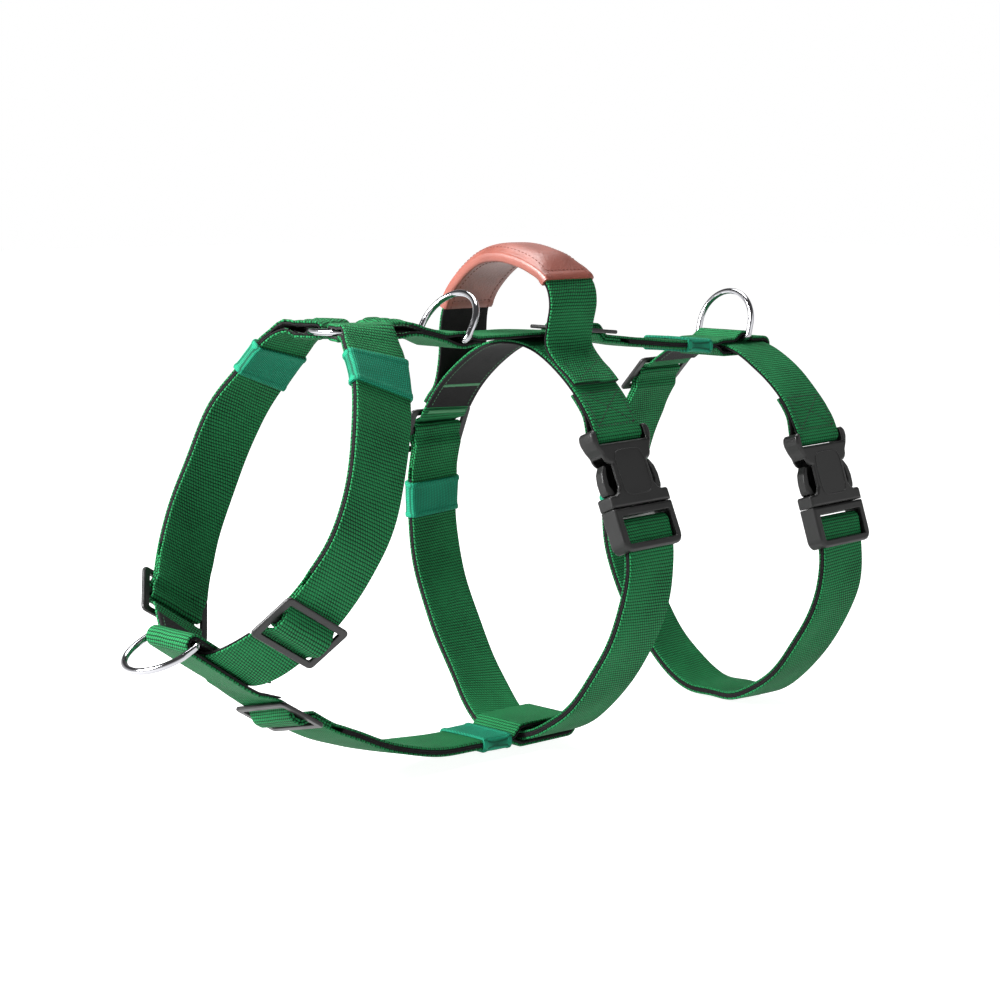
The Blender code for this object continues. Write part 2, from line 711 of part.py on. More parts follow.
def rod(radius, half, at=(0.0, 0.0), sides=12):
    """A cylinder along local Y."""
    bm = bmesh.new()
    bmesh.ops.create_cone(bm, cap_ends=True, segments=sides, radius1=radius, radius2=radius, depth=2 * half)
    bmesh.ops.rotate(bm, cent=(0, 0, 0), matrix=Matrix.Rotation(math.pi / 2, 3, "X"), verts=bm.verts)
    bmesh.ops.translate(bm, vec=(at[0], 0, at[1]), verts=bm.verts)
    return bm


def wire(path, radius, sides=10):
    """A closed wire along a closed path of local points that lies in a plane through local Y."""
    points = np.array(path, float)
    step = np.roll(points, -1, axis=0) - np.roll(points, 1, axis=0)
    tangent = step / np.linalg.norm(step, axis=1, keepdims=True)
    normal = np.array((1.0, 0.0, 0.0)) if np.ptp(points[:, 0]) < 1e-6 else np.array((0.0, 0.0, 1.0))
    across = np.cross(tangent, normal)
    bm = bmesh.new()
    rings = []
    for point, side in zip(points, across):
        turn = [2 * math.pi * k / sides for k in range(sides)]
        rings.append([bm.verts.new(point + radius * (math.cos(a) * side + math.sin(a) * normal)) for a in turn])
    for first, second in zip(rings, rings[1:] + rings[:1]):
        for k in range(sides):
            bm.faces.new((first[k], first[(k + 1) % sides], second[(k + 1) % sides], second[k]))
    return bm


def d_ring_path():
    """In local Y and Z: the bar along Y through the origin, two legs and a half circle."""
    half, leg, corner = D_RING_HALF, D_RING_LEG, 3.0
    points = [(0, y, 0) for y in (-half + corner, 0, half - corner)]
    points += [(0, half - corner + corner * math.sin(a), corner - corner * math.cos(a)) for a in (0.8, math.pi / 2)]
    points += [(0, half * math.cos(a), leg + half * math.sin(a)) for a in np.linspace(0.0, math.pi, 13)]
    points += [(0, corner - half - corner * math.sin(a), corner - corner * math.cos(a)) for a in (math.pi / 2, 0.8)]
    return points


def placed(name, bm, finish, matrix):
    obj = add_object(name, bm, finish)
    obj.matrix_world = matrix
    return obj


def rings(guides):
    circle = [(RING_RADIUS * math.cos(a), RING_RADIUS * math.sin(a), 0) for a in np.arange(32) * math.tau / 32]
    placed("top_o_ring", wire(circle, BAR_RADIUS), "steel", Matrix.Translation(Vector(RING_CENTRE) * 0.001))
    back, belly = guides["back"], guides["belly"]
    for name, guide, s, n, lean in (
        ("withers_d_ring", back, withers_u(back), 0.0, WITHERS_RING_LEAN),
        ("rear_d_ring", back, rear_ring_u(back), SINGLE_HALF + GAP + BAR_RADIUS, REAR_RING_LEAN),
        ("front_d_ring", belly, 0.0, -CURVE_ROOM / 2, FRONT_RING_LEAN),
    ):
        turn = Matrix.Rotation(math.radians(lean), 4, "Y")
        placed(name, wire(d_ring_path(), BAR_RADIUS), "steel", frame_matrix(guide, s, n) @ turn)


def slider_mesh():
    """One slider's mesh: a rounded frame with a bar at each end and one across the middle."""
    half, side, corner = SLIDER_LENGTH / 2, HALF_WEB + SIDE_GAP + SLIDER_RAIL, 3.0
    outline = []
    for sx, sy, start in ((1, 1, 0), (-1, 1, 90), (-1, -1, 180), (1, -1, 270)):
        centre = (sx * (half - corner), sy * (side - corner))
        outline += arc(centre, corner, start, start + 90, 3)
    obj = add_object("slider", plate(outline, -SLIDER_THICK / 2, SLIDER_THICK / 2, 0.5), "plastic")
    slot_side = HALF_WEB + SIDE_GAP
    cutters = []
    for sign in (-1, 1):
        ends = sorted((sign * SLIDER_BAR / 2, sign * (half - SLIDER_BAR)))
        cutter = add_object("slot", box((ends[0], -slot_side, -5), (ends[1], slot_side, 5)), "plastic")
        cut(obj, cutter)
        cutters.append(cutter)
    bpy.context.view_layer.update()
    mesh = bpy.data.meshes.new_from_object(obj.evaluated_get(bpy.context.evaluated_depsgraph_get()))
    for helper in [obj] + cutters:
        bpy.data.objects.remove(helper, do_unlink=True)
    return mesh


def sliders(guides):
    mesh = slider_mesh()
    for name, guide, at in (
        ("neck_near_slider", guides["neck_near"], NECK_SLIDER_AT),
        ("neck_far_slider", guides["neck_far"], NECK_SLIDER_AT),
        ("chest_slider", guides["chest"], -CHEST_SLIDER_AT),
        ("rear_slider", guides["rear"], -REAR_SLIDER_AT),
        ("belly_slider", guides["belly"], BELLY_SLIDER_AT),
        ("back_slider", guides["back"], BACK_SLIDER_AT),
    ):
        obj = bpy.data.objects.new(name, mesh)
        bpy.context.collection.objects.link(obj)
        obj.matrix_world = frame_matrix(guide, at, SLIDER_LEVEL)


def tube(guide, start, end, half_width, low_at, high_at, wall):
    """A flat rectangular tube round a strap. low_at and high_at give its inside in n at a length s."""
    marks = [s for s, _ in with_stations([(start, 0.0), (end, 0.0)])]
    bm = bmesh.new()
    rings = []
    for s in marks:
        ring = []
        for grow in (wall, 0.0):
            low, high, side = low_at(s) - grow, high_at(s) + grow, half_width + grow
            corners = ((high, side), (high, -side), (low, -side), (low, side))
            ring.append([bm.verts.new(guide.place(s, n, w)) for n, w in corners])
        rings.append(ring)
    for first, second in zip(rings, rings[1:]):
        for skin in (0, 1):
            span_faces(bm, first[skin], second[skin])
    for outer, inner in (rings[0], rings[-1]):
        for k in range(4):
            after = (k + 1) % 4
            bm.faces.new((outer[k], outer[after], inner[after], inner[k]))
    return bm


def keepers(guides):
    side = HALF_WEB + KEEPER_ROOM
    before_chest = chest_bottom_u(guides["belly"]) - HALF_WEB - BELLY_KEEPER_BEFORE_CHEST
    before_rear = rear_ring_u(guides["back"]) - HALF_WEB - BACK_KEEPER_BEFORE_REAR
    for name, guide, at in (
        ("neck_near_keeper", guides["neck_near"], NECK_KEEPER_AT),
        ("neck_far_keeper", guides["neck_far"], NECK_KEEPER_AT),
        ("chest_keeper", guides["chest"], -CHEST_KEEPER_AT),
        ("rear_keeper", guides["rear"], -REAR_KEEPER_AT),
        ("belly_keeper", guides["belly"], before_chest),
        ("back_keeper", guides["back"], before_rear),
    ):
        level = STACK + KEEPER_ROOM
        ends = at - KEEPER_LENGTH / 2, at + KEEPER_LENGTH / 2
        bm = tube(guide, *ends, side, lambda s: -level, lambda s: level, KEEPER_THICK)
        add_object(name, bm, "keeper", guide.place(at))


def buckle_frames(guides):
    """Each buckle is straight, so both halves share one frame, at the upper bar and along the strap."""
    frames = {}
    for name, at in (("chest", CHEST_BUCKLE_AT), ("rear", REAR_BUCKLE_AT)):
        guide = guides[name]
        start, end = guide.place(at), guide.place(at + LOWER_BAR)
        along = (end - start) / np.linalg.norm(end - start)
        across = guide.frame(at + LOWER_BAR / 2)[2]
        across = across - (across @ along) * along
        across /= np.linalg.norm(across)
        frames[name] = local_matrix(start, along, across, np.cross(along, across))
    return frames


def female_outline():
    inner, outer = HALF_WEB + SIDE_GAP, BUCKLE_HALF
    window_start, window_end, depth = 12.0, 37.2, 10.0
    half = [(FEMALE_TOP, inner), (-FEMALE_HORN, inner), (-FEMALE_HORN, outer - 2.5), (1.5 - FEMALE_HORN, outer - 0.7)]
    half += [(4.0 - FEMALE_HORN, outer), (3.5, outer - 0.2), (8.0, outer - 2.0)]
    for angle in (0.0, 0.4, 0.8, 1.2, math.pi / 2):
        half.append((window_start + 6.5 * math.sin(angle), outer - 4.5 - (depth - 4.5) * (1 - math.cos(angle))))
    half += [(window_end - 5, outer - depth), (window_end - 1.5, outer - 8.0), (window_end, outer - 5.0)]
    half += [(window_end, outer - 1.0), (window_end + 1.0, outer), (SPLIT, outer)]
    return half + [(x, -y) for x, y in half[::-1]]


def buckles(guides):
    for name, matrix in buckle_frames(guides).items():
        half, thick = BUCKLE_HALF, BUCKLE_THICK / 2
        slot = HALF_WEB + SIDE_GAP
        female = placed(f"{name}_buckle_female", plate(female_outline(), -thick, thick, 1.2), "plastic", matrix)
        cavity = box((13.5, -half + 3.5, FEMALE_WALL - thick), (SPLIT + 1, half - 3.5, thick - FEMALE_WALL))
        cut(female, placed(f"{name}_cavity", cavity, "plastic", matrix))
        cut(female, placed(f"{name}_upper_bar", rod(BAR_RADIUS, slot + 1.5), "plastic", matrix), "UNION")
        outline = [(MALE_TOP, half)] + arc((MALE_END - 6, half - 6), 6, 90, 0, 4)
        outline += arc((MALE_END - 6, 6 - half), 6, 0, -90, 4) + [(MALE_TOP, -half)]
        male = placed(f"{name}_buckle_male", plate(outline, -thick, thick, 1.2), "plastic", matrix)
        window_end = MALE_END - 4.6
        window = box((MALE_TOP + MALE_RAIL, -slot, -thick - 1), (window_end, slot, thick + 1))
        cut(male, placed(f"{name}_window", window, "plastic", matrix))
        behind = box((window_end - 1, -slot, -thick - 1), (MALE_END + 1, slot, thick - LIP_THICK))
        cut(male, placed(f"{name}_behind_lip", behind, "plastic", matrix))
        bar = rod(BAR_RADIUS, slot + 1.5, (LOWER_BAR, 0))
        cut(male, placed(f"{name}_lower_bar", bar, "plastic", matrix), "UNION")
        rib = box((18.0, -4.0, -1.8), (MALE_TOP + 2, 4.0, 1.8))
        cut(male, placed(f"{name}_rib", rib, "plastic", matrix), "UNION")
        for side, sign in (("front", -1), ("rear", 1)):
            prong = plate([(x, sign * y) for x, y in prong_outline()], -3.2, 3.2, 0.5)
            pivot = matrix @ Matrix.Translation(Vector((PRONG_ROOT[0], sign * PRONG_ROOT[1], 0)) * 0.001)
            bmesh.ops.translate(prong, vec=(-PRONG_ROOT[0], -sign * PRONG_ROOT[1], 0), verts=prong.verts)
            placed(f"{name}_buckle_prong_{side}", prong, "plastic", pivot)


PRONG_ROOT = (MALE_TOP - 0.6, BUCKLE_HALF - 9.0)


def prong_outline():
    """An arm from the male half's rail, a shoulder behind the window's edge and a rounded pressing pad."""
    root_x, root_y = PRONG_ROOT
    arm = [(root_x, root_y + 1.4), (37.6, root_y + 3.4), (36.4, root_y + 6.8), (34, root_y + 7.6)]
    pad = [(28, root_y + 7.8), (22.5, root_y + 6.6), (18, root_y + 3.5)]
    back = [(18.6, root_y + 1.6), (24, root_y + 3.2), (30, root_y + 3.6), (36, root_y + 0.6), (root_x, root_y - 1.4)]
    return arm + pad + back


def handle(guides):
    guide = handle_guide(guides["chest"])
    path = [(1.0, 0.0), (guide.length - 1.0, 0.0)]
    strap("handle_strap", guide, path)
    lining("handle_lining", guide, path, -1)
    height = guide.points[:, 2]
    top = int(np.argmax(height))
    start = float(np.interp(SLEEVE_NEAR_Z, height[:top], guide.lengths[:top]))
    end = float(np.interp(-SLEEVE_FAR_Z, -height[top:], guide.lengths[top:]))
    clear = WEB_THICK / 2 + GAP
    lined_clear = clear + LINING_THICK + GAP

    def pad_height(s):
        t = min(max(min(s - start, end - s) / 22.0, 0.0), 1.0)
        return (HANDLE_SLEEVE_THICK - 2 * HANDLE_SLEEVE_WALL - clear - lined_clear) * t * t * (3 - 2 * t)

    sleeve = tube(
        guide,
        start,
        end,
        HALF_WEB + HANDLE_SLEEVE_SIDE - HANDLE_SLEEVE_WALL,
        lambda s: -lined_clear,
        lambda s: clear + pad_height(s),
        HANDLE_SLEEVE_WALL,
    )
    add_object("handle_sleeve", sleeve, "leather", guide.place((start + end) / 2))
    sections, marks = [], [s for s, _ in with_stations([(start + 9.0, 0.0), (end - 9.0, 0.0)])]
    for s in marks:
        low, high, half = clear, clear + pad_height(s) - GAP, HALF_WEB - HANDLE_PAD_INSET
        sections.append([guide.place(s, n, w) for n, w in ((high, half), (high, -half), (low, -half), (low, half))])
    add_object("handle_pad", sweep(sections, marks), "foam", guide.place((start + end) / 2))


def main():
    clear_scene()
    guides = make_guides()
    neck_straps(guides)
    girth_straps(guides)
    belly_strap(guides)
    back_strap(guides)
    handle(guides)
    rings(guides)
    sliders(guides)
    keepers(guides)
    buckles(guides)


main()
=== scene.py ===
# %% [markdown]
# # No-pull dog harness
# Ribbed green webbing with a black lining, stitched edges, elastic keepers, moulded buckles and sliders, plated
# rings and a leather handle. Lengths are millimetres until a mesh is made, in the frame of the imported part: the
# origin is under the back strap, +X runs to the tail, +Y to the dog's right and +Z up.

# %% Frame
import math

import bmesh
import bpy
import numpy as np
from mathutils import Matrix, Vector


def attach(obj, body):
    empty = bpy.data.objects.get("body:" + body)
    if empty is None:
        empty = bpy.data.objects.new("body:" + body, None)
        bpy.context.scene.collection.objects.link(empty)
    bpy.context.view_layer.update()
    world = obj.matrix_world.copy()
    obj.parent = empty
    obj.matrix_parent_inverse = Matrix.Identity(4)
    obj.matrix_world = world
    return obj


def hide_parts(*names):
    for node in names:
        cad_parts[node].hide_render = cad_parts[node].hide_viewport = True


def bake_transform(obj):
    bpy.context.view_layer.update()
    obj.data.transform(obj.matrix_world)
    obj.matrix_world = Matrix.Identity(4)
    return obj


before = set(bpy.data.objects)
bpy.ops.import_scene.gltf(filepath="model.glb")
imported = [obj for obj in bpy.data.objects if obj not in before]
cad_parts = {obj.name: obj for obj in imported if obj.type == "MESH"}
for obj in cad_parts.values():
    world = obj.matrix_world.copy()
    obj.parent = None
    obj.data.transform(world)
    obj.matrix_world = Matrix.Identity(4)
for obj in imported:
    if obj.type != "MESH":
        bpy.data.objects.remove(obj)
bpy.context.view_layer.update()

# %% [markdown]
# ## Sizes
# The webbing, its lining and the hardware it runs through. A strap's route is drawn in a side view (s, n): s runs
# along a guide curve and n points away from the dog. Doubled webbing lies at n = PITCH and n = -PITCH.

# %% Sizes
WEB_WIDTH, WEB_THICK = 38.0, 1.5
LINING_THICK, GAP, BAR_RADIUS = 0.9, 0.3, 2.0
HALF_WEB = WEB_WIDTH / 2
PITCH = WEB_THICK / 2 + GAP + LINING_THICK + GAP / 2
LINING_STEP = WEB_THICK / 2 + GAP + LINING_THICK / 2
FOLD = BAR_RADIUS + GAP + LINING_THICK + GAP + WEB_THICK / 2
STACK = PITCH + WEB_THICK / 2
SINGLE_HALF = (WEB_THICK + GAP + LINING_THICK) / 2
SINGLE_MIDDLE = PITCH + WEB_THICK / 2 - SINGLE_HALF
OVER_SINGLE = SINGLE_HALF + GAP + LINING_THICK + GAP + WEB_THICK / 2
OVER_DOUBLE = STACK + GAP + LINING_THICK + GAP + WEB_THICK / 2
CURVE_ROOM, EDGE_ROOM = HALF_WEB**2 / 120.0, 1.5

SLIDER_LENGTH, SLIDER_BAR, SLIDER_THICK, SLIDER_ROOM = 31.0, 4.0, 2.4, 0.65
ANCHOR_TAIL = 25.0
LINING_STOP, LINING_START = SLIDER_LENGTH / 2 + 3.0, ANCHOR_TAIL + 6.0
SLIDER_LEVEL = STACK + SLIDER_ROOM + SLIDER_THICK / 2
NECK_SLIDER_AT, BACK_SLIDER_AT = 219.0, 181.0
CHEST_SLIDER_AT, REAR_SLIDER_AT = 107.0, 66.0
CHEST_BUCKLE_AT, REAR_BUCKLE_AT = 92.5, 102.0
LOWER_BAR = 56.2  # from the upper bar of a buckle to its lower bar
KEEPER_LENGTH, KEEPER_WALL = 23.0, 1.2
NECK_KEEPER_AT, CHEST_KEEPER_AT, REAR_KEEPER_AT = 62.0, 151.0, 152.0

RING_CENTRE, RING_RADIUS = (-108.0, 0.0, 9.35), 24.0
RING_EDGE = RING_RADIUS + BAR_RADIUS + 1.5
RING_CLOSE = RING_EDGE + 13.0
D_RING_HALF, D_RING_HEIGHT = HALF_WEB + 1.1 + BAR_RADIUS, 33.0
WITHERS_RING_X = -38.0
CHEST_X, REAR_X = 35.0, 214.0
CHEST_BOTTOM_X, REAR_TOP_X = CHEST_X - 5.0, REAR_X - 2.0  # the loops lean a little
FRONT_BAR_AHEAD, NECK_SLOPE = HALF_WEB + 10.5, 34.0
BELLY_SLIDER_AT = FRONT_BAR_AHEAD + 62.5
SLEEVE_NEAR_Z, SLEEVE_FAR_Z = 34.0, 15.0  # heights at which the leather starts and ends
LABEL_ALONG, LABEL_ACROSS, LABEL_RIDGE = 28.0, 24.0, 0.32
print("webbing:", WEB_WIDTH, "by", WEB_THICK, "mm; doubled:", round(2 * STACK, 2), "mm thick")

# %% [markdown]
# ## Shader helpers
# Colours are written as sRGB hex and turned linear once. `Nodes` adds a shader node with its settings and links.


# %% Shader helpers
def linear(hex_colour):
    """The linear RGBA of an sRGB hex colour."""
    values = np.array([int(hex_colour[k : k + 2], 16) for k in (1, 3, 5)]) / 255
    values = np.where(values <= 0.04045, values / 12.92, ((values + 0.055) / 1.055) ** 2.4)
    return (*values.tolist(), 1.0)


class Nodes:
    """A material's node tree, with one call to add a node and one for each common step."""

    def __init__(self, name):
        self.material = bpy.data.materials.new(name)
        self.material.use_nodes = True
        self.tree = self.material.node_tree
        self.shader = self.tree.nodes["Principled BSDF"]

    def add(self, kind, inputs, output=0, **settings):
        made = self.tree.nodes.new(kind)
        for key, value in settings.items():
            setattr(made, key, value)
        for key, value in inputs.items():
            self.put(made.inputs[key], value)
        return made.outputs[output]

    def put(self, socket, value):
        if isinstance(value, bpy.types.NodeSocket):
            self.tree.links.new(value, socket)
        else:
            socket.default_value = value

    def math(self, operation, first, second=0.0, third=0.0):
        return self.add("ShaderNodeMath", {0: first, 1: second, 2: third}, operation=operation)

    def ribs(self, coordinate, sharpness):
        """0 in the valleys and 1 on the crests of a row of ridges, one for each whole number."""
        wave = self.math("ABSOLUTE", self.math("SINE", self.math("MULTIPLY", coordinate, math.pi)))
        return self.math("POWER", wave, sharpness)

    def mix(self, share, low, high):
        return self.add("ShaderNodeMix", {0: share, 6: low, 7: high}, output=2, data_type="RGBA")

    def noise(self, vector, scale, detail=2.0):
        return self.add("ShaderNodeTexNoise", {"Vector": vector, "Scale": scale, "Detail": detail})

    def span(self, value, low, high):
        """Stretches 0.3 to 0.7, where noise mostly lies, to the range from low to high."""
        inputs = {0: value, 1: 0.3, 2: 0.7, 3: low, 4: high}
        return self.add("ShaderNodeMapRange", inputs)

    def bump(self, height, distance, below=None):
        inputs = {"Height": height, "Distance": distance, "Strength": 1.0}
        if below is not None:
            inputs["Normal"] = below
        return self.add("ShaderNodeBump", inputs)

    def finish(self, **inputs):
        for key, value in inputs.items():
            self.put(self.shader.inputs[key.replace("_", " ")], value)
        return self.material


def cloth_axes(nodes):
    """The piece's own cloth coordinates in mm: along the strap and across it."""
    vector = nodes.add("ShaderNodeAttribute", {}, output=1, attribute_name="cloth")
    along = nodes.add("ShaderNodeSeparateXYZ", {0: vector}, output=0)
    across = nodes.add("ShaderNodeSeparateXYZ", {0: vector}, output=1)
    return vector, along, across


print("colour helper: mid grey is", round(linear("#808080")[0], 3), "linear")


# %% [markdown]
# ## Materials
# Webbing: ribs across the strap every 1.9 mm, each broken by slanted picks as wide. Elastic: fine ribs along
# the strap. Lining: soft knit. Leather: pebbled grain with darker pores. Plastic: fine moulded texture.


# %% Materials
def woven(name, crest, valley_shade, rib, pick, depth, slant=0.45, rough=0.72):
    """Rows of ribs `rib` mm apart, each broken by slanted picks `pick` mm apart, `depth` mm deep; the valley colour
    is painted shade in the dips between them.
    """
    nodes = Nodes(name)
    vector, along, across = cloth_axes(nodes)
    wander = nodes.span(nodes.noise(vector, 0.05, 1.0), -0.12, 0.12)
    rows = nodes.math("ADD", nodes.math("DIVIDE", along, rib), wander)
    row, part = nodes.math("FLOOR", rows), nodes.math("FRACT", rows)
    offset = nodes.math("MULTIPLY", nodes.math("PINGPONG", row, 1.0), 0.5)
    slanted = nodes.math("MULTIPLY_ADD", part, slant, offset)
    picks = nodes.ribs(nodes.math("ADD", nodes.math("DIVIDE", across, pick), slanted), 0.6)
    height = nodes.math("MULTIPLY", nodes.ribs(rows, 0.6), nodes.math("MULTIPLY_ADD", picks, 0.85, 0.15))
    fibre = nodes.noise(vector, 2.6, 3.0)
    tone = nodes.math("MULTIPLY_ADD", nodes.span(fibre, -0.12, 0.12), 1.0, height)
    tone = nodes.math("ADD", tone, nodes.span(nodes.noise(vector, 0.035, 2.0), -0.10, 0.10))
    tone = nodes.add("ShaderNodeMapRange", {0: tone, 1: 0.2, 2: 0.75, 3: 0.0, 4: 1.0})
    # painted shade: the weave's dips take the darker valley colour, on top of random tone
    colour = nodes.mix(tone, linear(valley_shade), linear(crest))
    fuzz = nodes.bump(fibre, 0.00006)
    return nodes.finish(
        Base_Color=colour,
        Roughness=rough,
        Normal=nodes.bump(height, depth * 0.001, fuzz),
        Specular_IOR_Level=0.1,
    )


def knit(name, colour, lifted):
    """Soft fabric: fine loops and a slow change of tone."""
    nodes = Nodes(name)
    vector, _, _ = cloth_axes(nodes)
    loops = nodes.add("ShaderNodeTexVoronoi", {"Vector": vector, "Scale": 1.6})
    cloudy = nodes.span(nodes.noise(vector, 0.12, 3.0), 0.0, 0.6)
    return nodes.finish(
        Base_Color=nodes.mix(cloudy, linear(colour), linear(lifted)),
        Roughness=0.9,
        Normal=nodes.bump(loops, 0.00016),
        Sheen_Weight=0.04,
        Sheen_Roughness=0.5,
        Specular_IOR_Level=0.15,
    )


def plain(name, colour, rough, **more):
    return Nodes(name).finish(Base_Color=linear(colour), Roughness=rough, **more)


def grained_leather(name, colour, dark, light):
    nodes = Nodes(name)
    vector, _, across = cloth_axes(nodes)
    pebbles = nodes.add("ShaderNodeTexVoronoi", {"Vector": vector, "Scale": 0.85}, feature="SMOOTH_F1")
    pores = nodes.noise(vector, 2.2, 4.0)
    clouds = nodes.noise(vector, 0.06, 4.0)
    base = nodes.mix(nodes.span(clouds, 0.0, 1.0), linear(dark), linear(colour))
    base = nodes.mix(nodes.span(pores, 0.0, 0.3), base, linear(light))
    relief = nodes.math("MULTIPLY_ADD", pores, 0.35, pebbles)
    return nodes.finish(
        Base_Color=base,
        Roughness=nodes.span(pores, 0.36, 0.56),
        Normal=nodes.bump(relief, 0.00011),
        Coat_Weight=0.12,
        Coat_Roughness=0.3,
    )


def moulded_plastic(name, colour, worn):
    nodes = Nodes(name)
    place = nodes.add("ShaderNodeTexCoord", {}, output=3)
    fine = nodes.noise(place, 2600.0, 2.0)
    slow = nodes.noise(place, 60.0, 3.0)
    return nodes.finish(
        Base_Color=nodes.mix(nodes.span(slow, 0.0, 1.0), linear(colour), linear(worn)),
        Roughness=nodes.span(slow, 0.36, 0.48),
        Normal=nodes.bump(fine, 0.00003),
        Specular_IOR_Level=0.4,
    )


def plated(name, colour):
    nodes = Nodes(name)
    place = nodes.add("ShaderNodeTexCoord", {}, output=3)
    smears = nodes.noise(place, 140.0, 3.0)
    return nodes.finish(
        Base_Color=linear(colour),
        Metallic=1.0,
        Roughness=nodes.span(smears, 0.07, 0.16),
        Normal=nodes.bump(smears, 0.00002),
    )


# the second colour of each weave is painted shade for the dips between its ribs
WEBBING = woven("webbing", "#1a6b3d", "#031c0c", 1.9, 1.9, 0.5)
ELASTIC = woven("elastic", "#167a5c", "#053a2a", 1.35, 1.1, 0.2, slant=0.1, rough=0.66)
LINING = knit("lining", "#0b0a0b", "#181617")
LEATHER = grained_leather("leather", "#783b2e", "#602b20", "#8c4d3f")
PLASTIC = moulded_plastic("plastic", "#060606", "#0a0a0a")
CHROME = plated("nickel plate", "#a9a9ad")
THREAD = plain("thread", "#1b6b3c", 0.55, Sheen_Weight=0.1)
# painted shade: stitches on the webbing's face get a near-black green, the shade of the grooves they sink into
GROOVE_SHADE_THREAD = plain("sunk thread in painted shade", "#04180b", 0.8)
LEATHER_THREAD = plain("leather thread", "#5a2419", 0.6)
print("materials:", len(bpy.data.materials))

# %% [markdown]
# ## Guides
# A guide is a smooth curve through points with a width direction. Each strap loop has one, and every layer of
# webbing, lining and thread is placed from it, so that layers that lie together bend together.


# %% Guides
class Guide:
    """A centripetal Catmull-Rom curve through (x, y, z, roll) rows; roll turns the width direction, in degrees."""

    def __init__(self, rows, width_axis, closed=False, quiet=()):
        rows = np.array([tuple(row) + (0.0,) * (4 - len(row)) for row in rows])
        count = len(rows)
        spans = count if closed else count - 1
        index = np.arange(-1, spans + 2)
        knots = rows[index % count if closed else np.clip(index, 0, count - 1)]
        chord = np.sqrt(np.linalg.norm(np.diff(knots[:, :3], axis=0), axis=1))
        chord[chord == 0] = 1.0
        fine = [self.span(knots[i - 1 : i + 3], chord[i - 1 : i + 2]) for i in range(1, spans + 1)]
        fine = np.vstack(fine + [rows[:1] if closed else rows[-1:]])
        self.points, roll = fine[:, :3], np.radians(fine[:, 3])
        self.lengths = np.r_[0, np.cumsum(np.linalg.norm(np.diff(self.points, axis=0), axis=1))]
        self.length, self.closed, self.quiet = self.lengths[-1], closed, list(quiet)
        tangent = np.gradient(self.points, self.lengths, axis=0)
        if closed:
            tangent[0] = tangent[-1] = self.points[1] - self.points[-2]
        tangent /= np.linalg.norm(tangent, axis=1, keepdims=True)
        axis = np.array(width_axis, float)
        width = axis - (tangent @ axis)[:, None] * tangent
        width /= np.linalg.norm(width, axis=1, keepdims=True)
        out = np.cross(tangent, width)
        self.width = width * np.cos(roll)[:, None] + out * np.sin(roll)[:, None]
        self.tangent = tangent

    @staticmethod
    def span(four, chord, fineness=24):
        before, here, after = np.diff(four, axis=0) / chord[:, None]
        start = (before * chord[1] + here * chord[0]) / (chord[0] + chord[1]) * chord[1]
        end = (here * chord[2] + after * chord[1]) / (chord[1] + chord[2]) * chord[1]
        t = np.linspace(0, 1, fineness, endpoint=False)[:, None]
        bend = (2 * t**3 - 3 * t**2 + 1) * four[1] + (3 * t**2 - 2 * t**3) * four[2]
        return bend + (t**3 - 2 * t**2 + t) * start + (t**3 - t**2) * end

    def frames(self, s):
        """Points, tangents, width and outward directions at an array of lengths, straight on past an open end."""
        s = np.asarray(s, float)
        inside = s % self.length if self.closed else np.clip(s, 0, self.length)

        def read(rows):
            return np.stack([np.interp(inside, self.lengths, rows[:, k]) for k in range(3)], axis=-1)

        point, tangent, width = read(self.points), read(self.tangent), read(self.width)
        tangent /= np.linalg.norm(tangent, axis=-1, keepdims=True)
        width -= (width * tangent).sum(axis=-1, keepdims=True) * tangent
        width /= np.linalg.norm(width, axis=-1, keepdims=True)
        if not self.closed:
            point = point + (s - inside)[..., None] * tangent
        return point, tangent, width, np.cross(tangent, width)

    def place(self, s, n=0.0, w=0.0):
        """The point at (s, n, w); arrays give arrays."""
        s, n, w = np.broadcast_arrays(np.asarray(s, float), np.asarray(n, float), np.asarray(w, float))
        point, _, width, out = self.frames(s)
        return point + n[..., None] * out + w[..., None] * width

    def sway(self, s, w):
        """A slow rise and fall of the cloth, in mm: two sines along it, still near the hardware."""
        calm = np.ones(np.broadcast(s, w).shape)
        for at in self.quiet:
            away = np.abs(s - at)
            if self.closed:
                away = np.minimum(away % self.length, (-away) % self.length)
            ramp = np.clip((away - 24.0) / 26.0, 0, 1)
            calm = calm * ramp * ramp * (3 - 2 * ramp)
        slow = 0.28 * np.sin(s / 8.3 + w / 14.0 + 0.7) + 0.34 * np.sin(s / 14.9 - w / 23.0 + 2.1)
        return calm * slow


CHEST_OUTLINE = (  # y, z and the lean along x
    (0, -5, 0), (-22, -8.5, 0), (-46, -23.5, 1), (-64.6, -43, 1.6), (-70.5, -57, 2),
    (-93.1, -110.4, 3.6), (-97.4, -120.5, 3.9), (-98, -135, 4), (-95, -155, 3), (-82, -188, 1),
    (-52, -226, -2), (-22, -244, -4), (0, -246, -5), (22, -244, -4), (50, -223, 2), (74, -189, 3),
    (88, -155, 2), (92, -122, 0), (88, -88, -2), (78, -61, -3), (64, -39, -2), (44, -21, -1),
    (22, -8.5, 0),
)
REAR_OUTLINE = (
    (0, -15, -2), (-22, -17, -1), (-46, -30, 0), (-66, -49, 0.8), (-72.3, -58.5, 1.2), (-77, -72, 1.6),
    (-94.6, -127, 3.3), (-97.6, -136.6, 3.6), (-98, -151, 4.5), (-94, -170, 6), (-80, -198, 7),
    (-52, -231, 8), (-22, -249, 9), (0, -250.5, 10), (22, -249, 9), (52, -229, 7), (78, -196, 5),
    (91, -164, 3), (95, -131, 2), (92, -100, 2), (80, -72, 2), (64, -46, 1), (44, -28, 0),
    (22, -17, -1),
)
